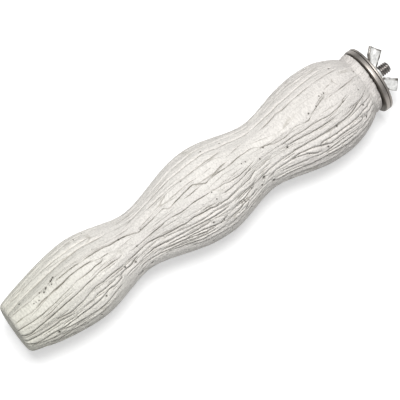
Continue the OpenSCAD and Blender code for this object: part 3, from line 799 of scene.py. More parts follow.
# %% Grain of the bark
# Angle, from +Y towards +Z, of the line along the body that faces the camera. Turns are counted from it.
TURN_UP = 75.7
UPPER_TURNS = [
    [62, 62, 62.7, 60.9, 61.5, 61, 58.5, 62.7, 60.5, 57, 57, 62, 65, 70, 70, 71, 72],
    [53, 53, 50.2, 50.8, 51, 50, 50, 52.9, 47, 46.5, 45, 48.5, 51.1, 57.4, 57.1, 60, 62],
    [44, 44, 41.5, 41.4, 38, 39.3, 36.8, 37, 34, 33.6, 35.9, 41.5, 41.1, 42.3, 46.8, 53.1, 55],
    [25, 25, 25.5, 25.2, 25, 29.1, 31.5, 31.6, 27.6, 26.9, 26.5, 32, 33.5, 32, 35.4, 38.4, 38],
    [17, 18, 21.4, 20.9, 20, 22, 24.1, 24.6, 22.1, 20.3, 17.1, 26.2, 24.8, 21.7, 30.3, 30.5, 31],
    [12, 13.5, 15.8, 14.5, 13.2, 12.5, 14.3, 15.8, 14.5, 12, 11, 16, 18, 17, 22, 26.5, 27.5],
    [3, 4, 9.4, 8, 6.6, 5, 5.9, 4, 4, 3, 4.6, 9.5, 11.7, 12.1, 14.9, 22, 23.5],
    [-3, -2, 1, 3.2, 3, 0, -2, -2, -2.8, -2.2, -2, -2.5, -3, 0.9, 2.3, 9, 11.5],
    [-9, -9.9, -8.6, -2, -1.2, -5, -8.3, -7.7, -9, -7, -8, -9.2, -10.8, -11, -9.4, -5.1, -4],
    [-14, -14.5, -13.6, -7, -6.5, -10.5, -14.2, -13.4, -15.8, -12.2, -14, -20, -21.5, -21.6, -22, -23, -25],
    [-22, -21.5, -21, -22.5, -22, -23.5, -21.5, -19.5, -21.5, -20.5, -20, -24.6, -26, -26, -27.6, -28, -29],
    [-37, -36.8, -35.6, -34.6, -34.8, -33, -31, -29.7, -30.8, -35, -36.2, -31.5, -32, -31.5, -32, -32, -32],
    [-46, -46, -45.3, -45.1, -45, -42, -39.6, -43.1, -45.5, -47, -46.8, -43, -40, -37.9, -36.7, -35.6, -36],
    [-54, -56, -56, -57, -57, -55.8, -51.5, -52.8, -55.2, -55, -54, -52, -50, -50, -48.8, -50, -49],
    [-64, -64, -63, -64, -65, -64, -62, -62, -64, -63, -62, -60, -60, -60, -60.5, -58.6, -57],
]
UNDER_COUNT, UNDER_START, UNDER_END = 13, 152, 354
UNDER_STEP = (UNDER_END - UNDER_START) / (UNDER_COUNT - 1)
LINE_COUNT = len(UPPER_TURNS) + UNDER_COUNT
WANDER_SHARE, WANDER_TURNS = 0.2, 2.3
RELIEF_TURNS, FAINT_SHARE = 3.1, 0.2
GOLDEN_TURN, DEPTH_PHASE = 137.5, 50


def wave(index, along, turns, phase):
    """A wave along the body, from -1 to 1, that differs from line to line"""
    return np.sin(np.radians(turns * 360 * along / LENGTH + GOLDEN_TURN * index + phase))


def grain_lines(along):
    """Angle of every grain line at each place along the body, and of the first one again at the end"""
    places = np.clip(along / LENGTH, 0, 1) * (len(UPPER_TURNS[0]) - 1)
    lines = [TURN_UP - np.interp(places, range(len(row)), row) for row in UPPER_TURNS]
    for index in range(len(UPPER_TURNS), LINE_COUNT):
        stray_share = WANDER_SHARE * wave(index, along, WANDER_TURNS, 0)
        lines.append(UNDER_START + UNDER_STEP * (index - len(UPPER_TURNS) + stray_share))
    return np.radians(np.column_stack(lines + [lines[0] + 360]))


def along_grain(lane, along):
    """Angle at which a lane, counted in grain lines, lies at each place along the body"""
    turns, lane = np.divmod(lane, LINE_COUNT)
    index = lane.astype(int)
    lines = grain_lines(along)
    rows = np.arange(len(along))
    step = lines[rows, index + 1] - lines[rows, index]
    return lines[rows, index] + step * (lane - index) + turns * 2 * math.pi


print(LINE_COUNT, "grain lines")

# %% [markdown]
# Nobody sees the under side in the same view, so its furrows are made by a rule with the same habits. Main
# ones follow the grain lines and wax and wane. Lesser ones lie anywhere between the lines: they start and
# stop, and wander a little. Fine splits, the shortest, run everywhere, and most of them on the near side,
# where the bark crumbles. A seeded draw makes them the same every time.

# %% Routes of the lesser furrows
SHOWN_LANES, CRUMBLED_LANES = (-1, 15), (-1, 5.2)
LESSER_FURROWS, SPLITS, CRUMBLED_SPLITS, UNDER_PINHOLES = 46, 170, 120, 90
LESSER_STRENGTH, LESSER_LENGTH = (1, 2.5), (20, 80)
SPLIT_STRENGTH, SPLIT_LENGTH = (0.3, 0.9), (6, 30)
CRUMBLED_STRENGTH, CRUMBLED_LENGTH = (0.5, 1.5), (4, 24)
MAIN_STRENGTH, MAIN_PLACES = 3, 46
CLEAR_START, CLEAR_END = 6, 4
STEP_SHARES = (0.6, 1.4)
PINHOLE_TURNS, PINHOLE_SIZES = (66, 294), (0.4, 1.1)
RUN_OUT = 8
draw = random.Random(4)


def drawn_route(lane, length, step, drift):
    """A route that follows the grain from a drawn place, as millimetres from the clamp and degrees"""
    place = draw.uniform(CLEAR_START, LENGTH - CLEAR_END)
    end = min(place + length, LENGTH + 1)
    places, lanes = [], []
    while place < end:
        places.append(place)
        lanes.append(lane)
        lane += draw.gauss(0, drift)
        place += draw.uniform(*STEP_SHARES) * step
    angles = along_grain(np.array(lanes), np.array(places))
    return [(SEAT_X + x, TURN_UP - math.degrees(a)) for x, a in zip(places, angles)]


def main_route(index):
    """The whole course of a grain line of the under side, with its strength at every place"""
    places = np.linspace(CLEAR_START, LENGTH, MAIN_PLACES)
    angles = along_grain(np.full(len(places), float(index)), places)
    swell = (1 + wave(index, places, RELIEF_TURNS, DEPTH_PHASE)) / 2
    strengths = MAIN_STRENGTH * (FAINT_SHARE + (1 - FAINT_SHARE) * swell)
    return strengths, [(SEAT_X + x, TURN_UP - math.degrees(a)) for x, a in zip(places, angles)]


under_routes = [main_route(index) for index in range(len(UPPER_TURNS), LINE_COUNT)]
for _ in range(LESSER_FURROWS):
    lane = draw.uniform(SHOWN_LANES[1] - 0.5, LINE_COUNT + SHOWN_LANES[0] + 0.5)
    strength = draw.uniform(*LESSER_STRENGTH)
    under_routes.append((strength, drawn_route(lane, draw.uniform(*LESSER_LENGTH), step=7, drift=0.07)))
splits = []
for _ in range(SPLITS):
    strength = draw.uniform(*SPLIT_STRENGTH)
    lane = draw.uniform(0, LINE_COUNT)
    splits.append((strength, drawn_route(lane, draw.uniform(*SPLIT_LENGTH), step=4, drift=0.06)))
for _ in range(CRUMBLED_SPLITS):
    lane = draw.uniform(*CRUMBLED_LANES)
    strength = draw.uniform(*CRUMBLED_STRENGTH)
    splits.append((strength, drawn_route(lane, draw.uniform(*CRUMBLED_LENGTH), step=3, drift=0.08)))
splits = [(strength, route) for strength, route in splits if len(route) > 1]
# A furrow that reaches the tip's rim runs on over it
for _, route in ROUTES:
    if route[0][0] > TIP_X - RUN_OUT:
        route.insert(0, (route[0][0] + RUN_OUT, route[0][1]))
under_pinholes = [(draw.uniform(CLEAR_START + 2, LENGTH - CLEAR_END - 2), draw.uniform(*PINHOLE_TURNS),
                   draw.uniform(*PINHOLE_SIZES)) for _ in range(UNDER_PINHOLES)]
print(len(ROUTES) + len(under_routes), "furrows and", len(splits), "splits all round")

# %% [markdown]
# The mesh starts as a plain cylinder whose long side edges are cut into rings. After that, the flat
# seat gets its pocket for the dowel: an inset, and an extrude inwards. The columns of points are then laid
# along the grain, so that a furrow runs down a column and keeps its sharp edges. They stand closer together
# on the upper side, where the finest relief is.

# %% Rough out the casting
UPPER_COLUMNS, UNDER_COLUMNS = 16, 11
LAST_UPPER = len(UPPER_TURNS)
COLUMN_STARTS = np.cumsum([0, LAST_UPPER * UPPER_COLUMNS, (UNDER_COUNT - 1) * UNDER_COLUMNS, UPPER_COLUMNS])
BODY_COLUMNS = int(COLUMN_STARTS[-1])
FIRST_CUTS, SECOND_CUTS = 2, 83
BODY_SPANS = (FIRST_CUTS + 1) * (SECOND_CUTS + 1)
DOWEL_R = span("dowel_core", 1)[1]
DOWEL_END_X = span("dowel_core", 0)[1]
# On the plain rod, which is 1 long and has a radius of 1
POCKET_INSET, POCKET_DEEP = 0.4, 0.5

casting = plain_rod("bark_casting", BODY_COLUMNS)
cut_rings(casting, FIRST_CUTS)
cut_rings(casting, SECOND_CUTS)
skin_count = len(casting.data.vertices)
edit_selected(casting, "polygons", lambda f: f.normal.x < -0.9)
bpy.ops.mesh.inset(thickness=POCKET_INSET)
bpy.ops.mesh.extrude_region_move(TRANSFORM_OT_translate={"value": (POCKET_DEEP, 0, 0)})
bpy.ops.object.mode_set(mode="OBJECT")
plain = read_points(casting)
ring = np.rint(plain[:skin_count, 0] * BODY_SPANS).astype(int)
column = np.rint(np.arctan2(plain[:, 2], plain[:, 1]) / (2 * math.pi) * BODY_COLUMNS) % BODY_COLUMNS
lane = np.interp(column, COLUMN_STARTS, [0, LAST_UPPER, LINE_COUNT - 1, LINE_COUNT])
print(f"{skin_count} points in {BODY_SPANS + 1} rings")

# %% [markdown]
# Now the carving. The skin is unrolled in thought, so that a furrow is a line on a sheet, and every point of
# the mesh is asked how far it lies from that line, on which side, and how far along.

# %% Measure distances on the unrolled skin
REACH = 5
FAR = 30.0
# A radius that stands for the whole body where a pattern needs a round length
SKIN_R = 20


def turned_from(angle, turn):
    """Angle of each point from a turn in degrees, where 0 is the line that faces the camera"""
    return (angle - math.radians(TURN_UP - turn) + math.pi) % (2 * math.pi) - math.pi


def nearness(clamp_x, angle, radius, route):
    """Distance of every point from a route over the skin, its side of it, and the way run along it"""
    distance = np.full(len(clamp_x), 1e3)
    side = np.zeros(len(clamp_x))
    way = np.zeros(len(clamp_x))
    run = 0
    for (x0, t0), (x1, t1) in zip(route, route[1:]):
        rows = np.flatnonzero((clamp_x > min(x0, x1) - REACH) & (clamp_x < max(x0, x1) + REACH))
        local = radius[rows]
        px, py = clamp_x[rows] - x0, turned_from(angle[rows], t0) * local
        qx, qy = x1 - x0, math.radians(t0 - t1) * local
        length = np.hypot(qx, qy)
        share = np.clip((px * qx + py * qy) / length ** 2, 0, 1)
        gap = np.hypot(px - share * qx, py - share * qy)
        better = gap < distance[rows]
        distance[rows[better]] = gap[better]
        side[rows[better]] = np.sign(py - share * qy)[better]
        way[rows[better]] = run + (share * length)[better]
        run += float(np.mean(length)) if len(length) else 0
    return distance, side, way, run


sheet_x = np.arange(SEAT_X, TIP_X)
sheet_y = np.zeros(len(sheet_x))
print(f"first furrow {nearness(sheet_x, sheet_y, sheet_y + SKIN_R, ROUTES[0][1])[3]:.0f} mm long")

# %% [markdown]
# A furrow of bark isn't a plain groove. On one side a plate ends in a raised, sharp rim. On the other the
# next plate slopes up from under it, like shingles. Over the far top the furrows are plain, shallow and
# wider, and down the near side the shingles become ledges with a thicker rim. So the depth at a point adds
# a narrow cut to a long slope, and both change with the point's turn round the body.

# %% Carving tools
CUT_WIDTH, CUT_GROWTH = 0.17, 0.03
CUT_DEPTH = 0.2
SLOPE_WIDTH, SLOPE_DEPTH = 0.9, 0.12
RIM_WIDTH, RIM_HEIGHT = 0.8, 0.06
PLAIN_WIDTH, PLAIN_DEPTH = 0.4, 0.4
WALL_WIDTH = 0.65
# Turns, in degrees from the line that faces the camera, between which one kind of furrow becomes another
PLAIN_FROM, SHINGLED_FROM = -35, -15
LEDGE_FROM, LEDGE_TO = -10, 35
LEDGE_DEPTH, LEDGE_RIM, LEDGE_RIM_SPREAD = 1.5, 6, 0.6
TURNS_FROM = -90
TAPER, TAPER_POWER = 5, 0.6
STRONG_LEAD, FULL_STRENGTH = 0.5, 3


def carve(clamp_x, angle, radius, vigour, routes):
    """Depth of the furrows and height of their rims at every point, and its place by the nearest furrow:
    the distance beside it, the distance from it, and its strength there"""
    depth, rim = np.zeros(len(clamp_x)), np.zeros(len(clamp_x))
    beside, apart = np.full(len(clamp_x), FAR), np.full(len(clamp_x), FAR)
    share = np.zeros(len(clamp_x))
    turned = (-np.degrees(turned_from(angle, 0)) - TURNS_FROM) % 360 + TURNS_FROM
    shingled = ease((turned - PLAIN_FROM) / (SHINGLED_FROM - PLAIN_FROM))
    ledge = ease((turned - LEDGE_FROM) / (LEDGE_TO - LEDGE_FROM))
    cut_depth = CUT_DEPTH * (1 + LEDGE_DEPTH * ledge + PLAIN_DEPTH * (1 - shingled))
    slope_depth = SLOPE_DEPTH * (shingled + ledge)
    rim_height = RIM_HEIGHT * (shingled + LEDGE_RIM * ledge)
    rim_width = RIM_WIDTH * (1 + LEDGE_RIM_SPREAD * ledge)
    for strength, route in routes:
        distance, side, way, run = nearness(clamp_x, angle, radius, route)
        if not np.isscalar(strength):
            strength = np.interp(way, np.linspace(0, run, len(strength)), strength)
        taper = np.clip(np.minimum(way, run - way) / min(TAPER, run / 3), 0, 1) ** TAPER_POWER * vigour
        width = CUT_WIDTH + CUT_GROWTH * strength + PLAIN_WIDTH * (1 - shingled)
        width = width + WALL_WIDTH * ledge * (side > 0)
        cut = cut_depth * np.exp(-(distance / width) ** 2)
        slope = slope_depth * (side < 0) * np.exp(-distance / SLOPE_WIDTH)
        raised = rim_height * (side > 0) * np.exp(-distance / rim_width)
        depth = np.maximum(depth, strength * taper * (cut + slope))
        rim = np.maximum(rim, strength * taper * raised)
        force = strength / FULL_STRENGTH * np.clip(taper, 0, 1)
        nearer = distance - force * STRONG_LEAD < apart - share * STRONG_LEAD
        beside[nearer] = (side * distance)[nearer]
        apart[nearer] = distance[nearer]
        share[nearer] = force[nearer]
    return depth, rim, np.column_stack([beside, apart, share])


full_depth = FULL_STRENGTH * CUT_DEPTH
print(f"full cuts are {full_depth:.1f} mm deep, and {full_depth * (1 + LEDGE_DEPTH):.1f} mm at a ledge")

# %% [markdown]
# The furrows alone would leave the plates between them as smooth as plastic. Noise in several sizes does the
# rest: it makes the furrows jagged, lifts and sinks whole plates, lays fine fibres along them, and crumbles
# the near side. At the collar the bark dies away, and there the cast edge is chipped, with a fine groove
# where the washer bears. Each noise has a size along the perch, a size round it, and a seed that moves it.

# %% Carve the bark
NOISES = {"short_jag": (3.2, 3, 3), "long_jag": (9, 5, 7), "vigour": (10, 4, 17), "line": (6, 2, 53),
          "plate": (22, 4.5, 11), "long_fibre": (7, 1.2, 29), "short_fibre": (3.6, 1, 31),
          "crumb": (2.6, 1.7, 41), "lump": (3.5, 2.6, 61), "chip": (4, 2.2, 71)}
SHORT_JAG, LONG_JAG = 0.19, 0.25
NECK_FADE = 10
EDGE_RINGS = 5
ROUGH_TURN, ROUGH_HALF_WIDTH, ROUGH_POWER = 46, 30, 4
VIGOUR_MEAN, VIGOUR_ROUGH, VIGOUR_STRAY, VIGOUR_RANGE = 0.85, 0.6, 0.8, (0.25, 1.5)
LINE_MEAN, LINE_STRAY, LINE_RANGE = 0.8, 0.9, (0.2, 1.1)


def ring_places(count):
    """Distances of the rings from the washer end: close together on the rounded edges"""
    rim = [1 - math.cos(math.pi / 2 * i / EDGE_RINGS) for i in range(EDGE_RINGS)]
    start = [COLLAR_ROUND * share for share in rim]
    end = [LENGTH - TIP_ROUND * share for share in reversed(rim)]
    between = np.linspace(COLLAR_ROUND, LENGTH - TIP_ROUND, count - 2 * EDGE_RINGS)
    return np.array(start + list(between) + end)


along = ring_places(BODY_SPANS + 1)[ring]
angle = along_grain(lane[:skin_count], along)
turn = along_grain(lane[:skin_count], np.full(skin_count, LENGTH / 2))
clamp_x = along + SEAT_X
radius = skin_radius(along, angle)
bark = ease((along - NECK_AT) / NECK_FADE)


def skin_noise(kind):
    """Smooth noise over the skin, from about -1 to 1, of one of the kinds"""
    run_mm, round_mm, seed = NOISES[kind]
    y, z = np.cos(turn) * SKIN_R / round_mm, np.sin(turn) * SKIN_R / round_mm
    return np.array([noise.noise(Vector((a / run_mm + seed, b, c))) for a, b, c in zip(along, y, z)])


jag = SHORT_JAG * skin_noise("short_jag") + LONG_JAG * skin_noise("long_jag")
jagged = angle + jag / radius
rough_side = np.exp(-((turned_from(angle, ROUGH_TURN) / math.radians(ROUGH_HALF_WIDTH)) ** ROUGH_POWER))
vigour = VIGOUR_MEAN + VIGOUR_ROUGH * rough_side + VIGOUR_STRAY * skin_noise("vigour")
vigour = np.clip(vigour, *VIGOUR_RANGE)
depth, rim, furrow_place = carve(clamp_x, jagged, radius, vigour, ROUTES + under_routes)
split_depth, split_rim, split_place = carve(clamp_x, jagged, radius, vigour, splits)
furrow_place[:, 2] *= np.clip(LINE_MEAN + LINE_STRAY * skin_noise("line"), *LINE_RANGE)
print("deepest furrow", round(float(depth.max()), 2), "mm")

# %% [markdown]
# All heights are now added up into one skin: the smooth casting, its plates, fibres, lumps, crumbs and
# chips, the groove at the washer, and the rims and cuts of the furrows, which fade out on the collar.

# %% Roughen the plates and the collar
PLATE_LIFT, PLATE_SINK = 0.12, 0.16
LONG_FIBRE, SHORT_FIBRE, LUMP_LIFT = 0.045, 0.04, 0.1
CRUMB_DEPTH, CRUMB_END, CRUMB_FADE = 1.5, 34, 24
CHIP_DEPTH, CHIP_LEAST, CHIP_END, CHIP_FADE = 1.6, 0.08, 5, 1.5
CONTACT_DEPTH, CONTACT_WIDTH = 0.8, 0.6
COLLAR_FURROWS = 0.15

plates = PLATE_LIFT * skin_noise("plate") - PLATE_SINK
fibres = LONG_FIBRE * skin_noise("long_fibre") + SHORT_FIBRE * skin_noise("short_fibre")
crumbs = rough_side * ease((CRUMB_END - along) / CRUMB_FADE) * np.maximum(0, skin_noise("crumb"))
lumps = LUMP_LIFT * skin_noise("lump")
chips = ease((CHIP_END - along) / CHIP_FADE) * np.maximum(0, skin_noise("chip") - CHIP_LEAST)
contact = CONTACT_DEPTH * np.exp(-(along / CONTACT_WIDTH) ** 2)
furrowed = np.maximum(rim, split_rim) - np.maximum(depth, split_depth)
skin = (radius + bark * (plates + fibres - CRUMB_DEPTH * crumbs) + np.minimum(lumps, 0)
        - CHIP_DEPTH * chips - contact + furrowed * np.clip(bark + COLLAR_FURROWS, 0, 1))
relief = skin - radius
print(f"relief from {relief.min():.2f} to {relief.max():.2f} mm")

# %% [markdown]
# Pinholes are where bubbles of air met the mould. Each is a small round dent, pressed into the skin, and the
# skin remembers how far its points lie from the nearest one. Then every point gets its place: the skin's
# points round the stray middle line, and the pocket's points round the dowel. No point stands proud of the
# smooth casting by more than a hair, so the piece keeps its packed size.

# %% Prick the pinholes
PIN_DEPTH, PIN_SHARE = 1.1, 0.6
MOST_RAISED = 0.2
pin_offset = np.full((skin_count, 3), FAR)
pin_distance = np.full(skin_count, FAR)
for place, pin_turn, size in PINHOLES + under_pinholes:
    across = turned_from(angle, pin_turn) * radius
    gap = np.hypot(clamp_x - place, across)
    skin -= PIN_DEPTH * size * np.exp(-(gap / (PIN_SHARE * size)) ** 2)
    nearer = gap < pin_distance
    pin_distance[nearer] = gap[nearer]
    pin_offset[nearer] = np.column_stack([clamp_x - place, across, np.full(skin_count, size)])[nearer]
skin = np.minimum(skin, radius + MOST_RAISED)
points = np.empty((len(plain), 3))
points[:skin_count] = np.column_stack([clamp_x, skin * np.cos(angle) - stray(along), skin * np.sin(angle)])
deep = plain[skin_count:, 0] > POCKET_DEEP / 2
pocket_angle = along_grain(lane[skin_count:], np.zeros(len(deep)))
points[skin_count:] = np.column_stack([np.where(deep, DOWEL_END_X, SEAT_X), DOWEL_R * np.cos(pocket_angle),
                                       DOWEL_R * np.sin(pocket_angle)])
write_points(casting, points * MM)
print(len(PINHOLES) + len(under_pinholes), "pinholes, and", len(points) - skin_count, "points in the pocket")

# %% [markdown]
# The skin carries the values that its finish reads: where each point is along the grain, how far beside
# the nearest furrow it lies and how strong that furrow is, and how far off the nearest pinhole is. They are
# attributes of the mesh, so they move with the perch, and so does the finish.

# %% Give the skin its attributes
def give(name, kind, values):
    """Stores a value at every point of the skin. The pocket's points get the last one's."""
    values = np.asarray(values, dtype=float)
    rest = np.repeat(values[-1:], len(points) - skin_count, axis=0)
    attribute = casting.data.attributes.new(name, kind, "POINT")
    attribute.data.foreach_set("vector" if kind == "FLOAT_VECTOR" else "value",
                               np.concatenate([values, rest]).ravel())


give("skin_place", "FLOAT_VECTOR",
     np.column_stack([clamp_x, SKIN_R * np.cos(turn), SKIN_R * np.sin(turn)]) * MM)
give("furrow_place", "FLOAT_VECTOR", furrow_place)
give("split_place", "FLOAT_VECTOR", split_place)
give("pin_place", "FLOAT_VECTOR", pin_offset)
give("pin_distance", "FLOAT", pin_distance)
finish_piece(casting, chalk, "perch", "cast_body", smooth_angle=60)

# %% [markdown]
# A hanger bolt has no head: machine thread on the half that stands out, wood screw thread on the half in
# the dowel, and a plain grip between them. A thread is one ridge wound on a rod. So a point's height on
# the rod depends on how far it lies along the pitch, after its turn round the axis is taken off.

# %% Roll the thread of the hanger bolt
MACHINE_LENGTH, GRIP_LENGTH, SCREW_POINT = 31.8, 5, 7
MACHINE_PITCH, MACHINE_ROOT_R, MACHINE_CREST = 1.27, 2.6, 0.3
SCREW_PITCH, SCREW_R, SCREW_ROOT_R, SCREW_CREST = 2.5, 2.6, 1.75, 0.1
GRIP_R, POINT_SHARE = 2.8, 0.02
STUD_CHAMFER = 0.8
BOLT_COLUMNS, BOLT_CUTS = 64, (4, 90)


def thread_height(x, angle, pitch, crest):
    """0 at the root and 1 at the crest. A larger crest value makes the crest flatter."""
    turn = (x / pitch - angle / (2 * math.pi)) % 1
    return np.clip(np.abs(2 * turn - 1) * (1 + crest) - crest / 2, 0, 1)


bolt = plain_rod("hanger_bolt_threaded", BOLT_COLUMNS)
for cuts in BOLT_CUTS:
    cut_rings(bolt, cuts)
points = read_points(bolt)
bolt_angle = np.arctan2(points[:, 2], points[:, 1])
from_end = points[:, 0] * (SCREW_END_X - STUD_END_X)
grip_end = MACHINE_LENGTH + GRIP_LENGTH
to_point = SCREW_END_X - STUD_END_X - from_end
ridge = thread_height(from_end, bolt_angle, MACHINE_PITCH, MACHINE_CREST)
machine = MACHINE_ROOT_R + (STUD_R - MACHINE_ROOT_R) * ridge
machine = np.minimum(machine, STUD_R - STUD_CHAMFER + from_end)
ridge = thread_height(from_end, bolt_angle, SCREW_PITCH, SCREW_CREST)
screw = SCREW_ROOT_R + (SCREW_R - SCREW_ROOT_R) * ridge ** 2
screw = screw * np.clip(to_point / SCREW_POINT, POINT_SHARE, 1)
thread_r = np.where(from_end < MACHINE_LENGTH, machine, np.where(from_end < grip_end, GRIP_R, screw))
write_points(bolt, np.column_stack([STUD_END_X + from_end, thread_r * np.cos(bolt_angle),
                                    thread_r * np.sin(bolt_angle)]) * MM)
finish_piece(bolt, bolt_steel, "perch", "hanger_bolt", smooth_angle=35)

# %% [markdown]
# The washers are stamped from plate, and tumbled, which rounds their rims. Each starts as the section of
# its ring: a plane whose corners are moved to the section's corners, with its two outer ones bevelled.
# Spinning that outline right round the X axis closes the ring. The flat faces are painted darker than
# the rim, as painted shade, and the mesh carries that as a value for the finish.

# %% Spin the washers
HOLE_R = 3.6
WASHER_STEPS, RIM_SEGMENTS = 160, 5
# How far a normal turns along the axis before its face gets painted shade, and over how much that fades in
FACE_SHADE_FROM, FACE_SHADE_FADE = 0.3, 0.4
# A hair of air on both faces, so that a washer turns against its neighbour without cutting into it
WASHER_LIE = 0.01


def spun_washer(name, node, body, rim_round):
    """A flat ring with a rounded rim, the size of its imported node"""
    (start, end), (_, outer) = span(node, 0), span(node, 1)
    start, end = start + WASHER_LIE, end - WASHER_LIE
    deselect_all()
    bpy.ops.mesh.primitive_plane_add(size=1)
    washer = bpy.context.object
    washer.name = washer.data.name = name
    corners = [(start, HOLE_R), (end, HOLE_R), (start, outer), (end, outer)]
    for point, (x, r) in zip(washer.data.vertices, corners):
        point.co = Vector((x, 0, r)) * MM
    edit_selected(washer, "vertices", lambda v: v.co.z > 0.9 * outer * MM)
    bpy.ops.mesh.bevel(offset=rim_round * MM, segments=RIM_SEGMENTS, affect="VERTICES", profile=0.5)
    bpy.ops.mesh.select_all(action="SELECT")
    bpy.ops.mesh.delete(type="ONLY_FACE")
    bpy.ops.mesh.select_all(action="SELECT")
    bpy.ops.mesh.spin(steps=WASHER_STEPS, angle=2 * math.pi, center=(0, 0, 0), axis=(1, 0, 0))
    bpy.ops.mesh.select_all(action="SELECT")
    bpy.ops.mesh.remove_doubles(threshold=1e-7)
    bpy.ops.mesh.normals_make_consistent(inside=False)
    bpy.ops.object.mode_set(mode="OBJECT")
    # Painted shade on the flat faces, none on the rounded rim
    shaded_faces = [ease((abs(v.normal.x) - FACE_SHADE_FROM) / FACE_SHADE_FADE) for v in washer.data.vertices]
    washer.data.attributes.new("face_shade", "FLOAT", "POINT").data.foreach_set("value", shaded_faces)
    finish_piece(washer, washer_steel, body, node, smooth_angle=30)


spun_washer("inner_washer_stamped", "inner_washer", "inner_washer", rim_round=0.55)
spun_washer("outer_washer_stamped", "outer_washer", "outer_washer", rim_round=0.4)

# %% [markdown]
# A wing nut of this kind is formed in a die: a round hub, and two wings that lean out from it. It has no
# sharp inner corners. So the hub and the wings are rough shapes that run into one another, a voxel remesh
# melts them into one skin, and smoothing rounds that skin. The bore is cut after that, with crisp edges.

# %% Form the wing nut
NUT_BASE_R, NUT_TOP_R, NUT_HUB_HEIGHT = 5.8, 4.7, 5.2
NUT_COLUMNS = 72
ROOT_THICK, END_THICK = 3.4, 2.0
UPPER_REACH, LOWER_REACH = 1.0, 0.93
# Outline of a wing as distances from the axis and heights, from its root to its end, in pairs
WING_STATIONS = [((0.4, 5), (3.2, 1)), ((3.3, 5.4), (5.6, 1.6)), ((4.6, 7.2), (11.9, 5.2)),
                 ((9.3, 12.9), (15.4, 8.5))]


def wing(name, side, reach):
    """A wing made by extruding a small block from station to station"""
    deselect_all()
    bpy.ops.mesh.primitive_cube_add(size=1)
    piece = bpy.context.object
    piece.name = name
    for index, (station, after) in enumerate(zip(WING_STATIONS, WING_STATIONS[1:])):
        if index:
            edit_selected(piece, "polygons", lambda f: f.index == end_face(piece, station, side, reach))
            bpy.ops.mesh.extrude_region_move()
            bpy.ops.object.mode_set(mode="OBJECT")
            moved = [v for v in piece.data.vertices if v.select]
        else:
            moved = [v for v in piece.data.vertices if v.co.x > 0]
            place([v for v in piece.data.vertices if v.co.x < 0], station, ROOT_THICK, side, reach)
        thick = ROOT_THICK + (END_THICK - ROOT_THICK) * (index + 1) / (len(WING_STATIONS) - 1)
        place(moved, after, thick, side, reach)
    return piece


def place(points, station, thick, side, reach):
    """Moves four points to a station: the upper pair to its first place, the lower pair to its second"""
    middle = sum(v.co.z for v in points) / 4
    for v in points:
        distance, height = station[0] if v.co.z > middle else station[1]
        v.co = (side * distance * reach * MM, math.copysign(thick / 2, v.co.y) * MM, height * MM)


def end_face(piece, station, side, reach):
    """Index of the face that closes the wing at a station"""
    target = Vector((side * (station[0][0] + station[1][0]) / 2 * reach, 0,
                     (station[0][1] + station[1][1]) / 2)) * MM
    return min(piece.data.polygons, key=lambda f: (f.center - target).length).index


deselect_all()
bpy.ops.mesh.primitive_cone_add(vertices=NUT_COLUMNS, radius1=NUT_BASE_R * MM, radius2=NUT_TOP_R * MM,
                                depth=NUT_HUB_HEIGHT * MM, location=(0, 0, NUT_HUB_HEIGHT / 2 * MM))
nut = bpy.context.object
nut.name = nut.data.name = "wing_nut_formed"
bpy.ops.object.transform_apply(location=True)
wings = [wing("upper_wing", 1, UPPER_REACH), wing("lower_wing", -1, LOWER_REACH)]
deselect_all()
for piece in wings + [nut]:
    piece.select_set(True)
bpy.context.view_layer.objects.active = nut
bpy.ops.object.join()
print("rough wing nut:", len(nut.data.polygons), "faces")

# %% [markdown]
# The rough shapes now become one forging. The remesh rebuilds them as one closed skin of small squares,
# smoothing takes the steps out of it, and a gentle noise gives it the lumps of hot metal pressed in a worn
# die. A drill, which is a cylinder taken away by a Boolean modifier, leaves a bore with crisp edges.

# %% Melt, smooth and bore the wing nut
NUT_BORE_R = 3.23
VOXEL = 0.24
SMOOTHINGS = 7
LUMP_MM, LUMP_HEIGHT = 2.2, 0.16
FINE_LUMP, LUMP_SINK = 0.4, 0.5


def apply_modifier(piece, kind, **settings):
    """Adds a modifier, sets it and applies it at once"""
    deselect_all()
    piece.select_set(True)
    bpy.context.view_layer.objects.active = piece
    modifier = piece.modifiers.new(kind.lower(), kind)
    for key, value in settings.items():
        setattr(modifier, key, value)
    bpy.ops.object.modifier_apply(modifier=modifier.name)


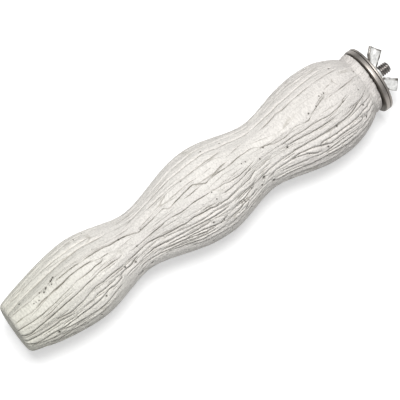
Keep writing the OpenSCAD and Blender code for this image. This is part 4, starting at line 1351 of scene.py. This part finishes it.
apply_modifier(nut, "REMESH", mode="VOXEL", voxel_size=VOXEL * MM, adaptivity=0)
apply_modifier(nut, "SMOOTH", factor=0.5, iterations=SMOOTHINGS)
for v in nut.data.vertices:
    lump = noise.noise(v.co / (LUMP_MM * MM)) + 0.5 * noise.noise(v.co / (FINE_LUMP * LUMP_MM * MM))
    v.co += v.normal * (lump - LUMP_SINK) * LUMP_HEIGHT * MM
    v.co.z = max(v.co.z, 0)
deselect_all()
bpy.ops.mesh.primitive_cylinder_add(vertices=NUT_COLUMNS, radius=NUT_BORE_R * MM,
                                    depth=4 * NUT_HUB_HEIGHT * MM)
drill = bpy.context.object
apply_modifier(nut, "BOOLEAN", operation="DIFFERENCE", solver="MANIFOLD", object=drill)
bpy.data.objects.remove(drill)
print("bored wing nut:", len(nut.data.vertices), "points")

# %% [markdown]
# The edges of the wings are painted darker, as painted shade. Those edges are what lies near the
# outline that the wings were extruded along, so each point gets a value for that painted shade from its
# distance to that outline, made spotty by noise. Last, the nut is turned from the bench, where it stood on
# its base, to the stud, with its base on the outer washer and its wings slanting as the photograph shows
# them.

# %% Paint shade on the wing nut's edges and put it on the stud
EDGE_SHADE_MM, EDGE_SHADE_FADE, EDGE_SHADE_MEAN, EDGE_SHADE_LEAST = 1.25, 0.6, 0.75, 0.25
WING_TURN = math.radians(150)

upper_edge = [pair[0] for pair in WING_STATIONS[1:]]
lower_edge = [pair[1] for pair in reversed(WING_STATIONS[1:])]
outline = np.array(upper_edge + lower_edge)
coordinates = np.array([(abs(v.co.x), v.co.z) for v in nut.data.vertices]) / MM
edge_gap = np.full(len(coordinates), FAR)
for start, end in zip(outline, outline[1:]):
    way = end - start
    share = np.clip((coordinates - start) @ way / (way @ way), 0, 1)
    edge_gap = np.minimum(edge_gap, np.hypot(*(coordinates - start - share[:, None] * way).T))
spotty = np.array([noise.noise(v.co / (LUMP_MM * MM)) for v in nut.data.vertices])
# Painted shade along the wings' edges
painted_shade = ease((EDGE_SHADE_MM - edge_gap) / EDGE_SHADE_FADE) * np.clip(EDGE_SHADE_MEAN + spotty, EDGE_SHADE_LEAST, 1)
nut.data.attributes.new("edge_shade", "FLOAT", "POINT").data.foreach_set("value", painted_shade)
wing_direction = Vector((0, math.cos(WING_TURN), math.sin(WING_TURN)))
outwards = Vector((-1, 0, 0))
across = outwards.cross(wing_direction)
seat = Vector((NUT_SEAT_X * MM, 0, 0))
for v in nut.data.vertices:
    v.co = v.co.x * wing_direction + v.co.y * across + v.co.z * outwards + seat
finish_piece(nut, nut_zinc, "wing_nut", "wing_nut", smooth_angle=50)

# %% [markdown]
# The dowel in the casting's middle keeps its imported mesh, because its shape is right, and gets its wood.

# %% Finish the dowel
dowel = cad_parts["dowel_core"]
dowel.data.materials.clear()
dowel.data.materials.append(beech)
print("the dowel is made of", dowel.data.materials[0].name)
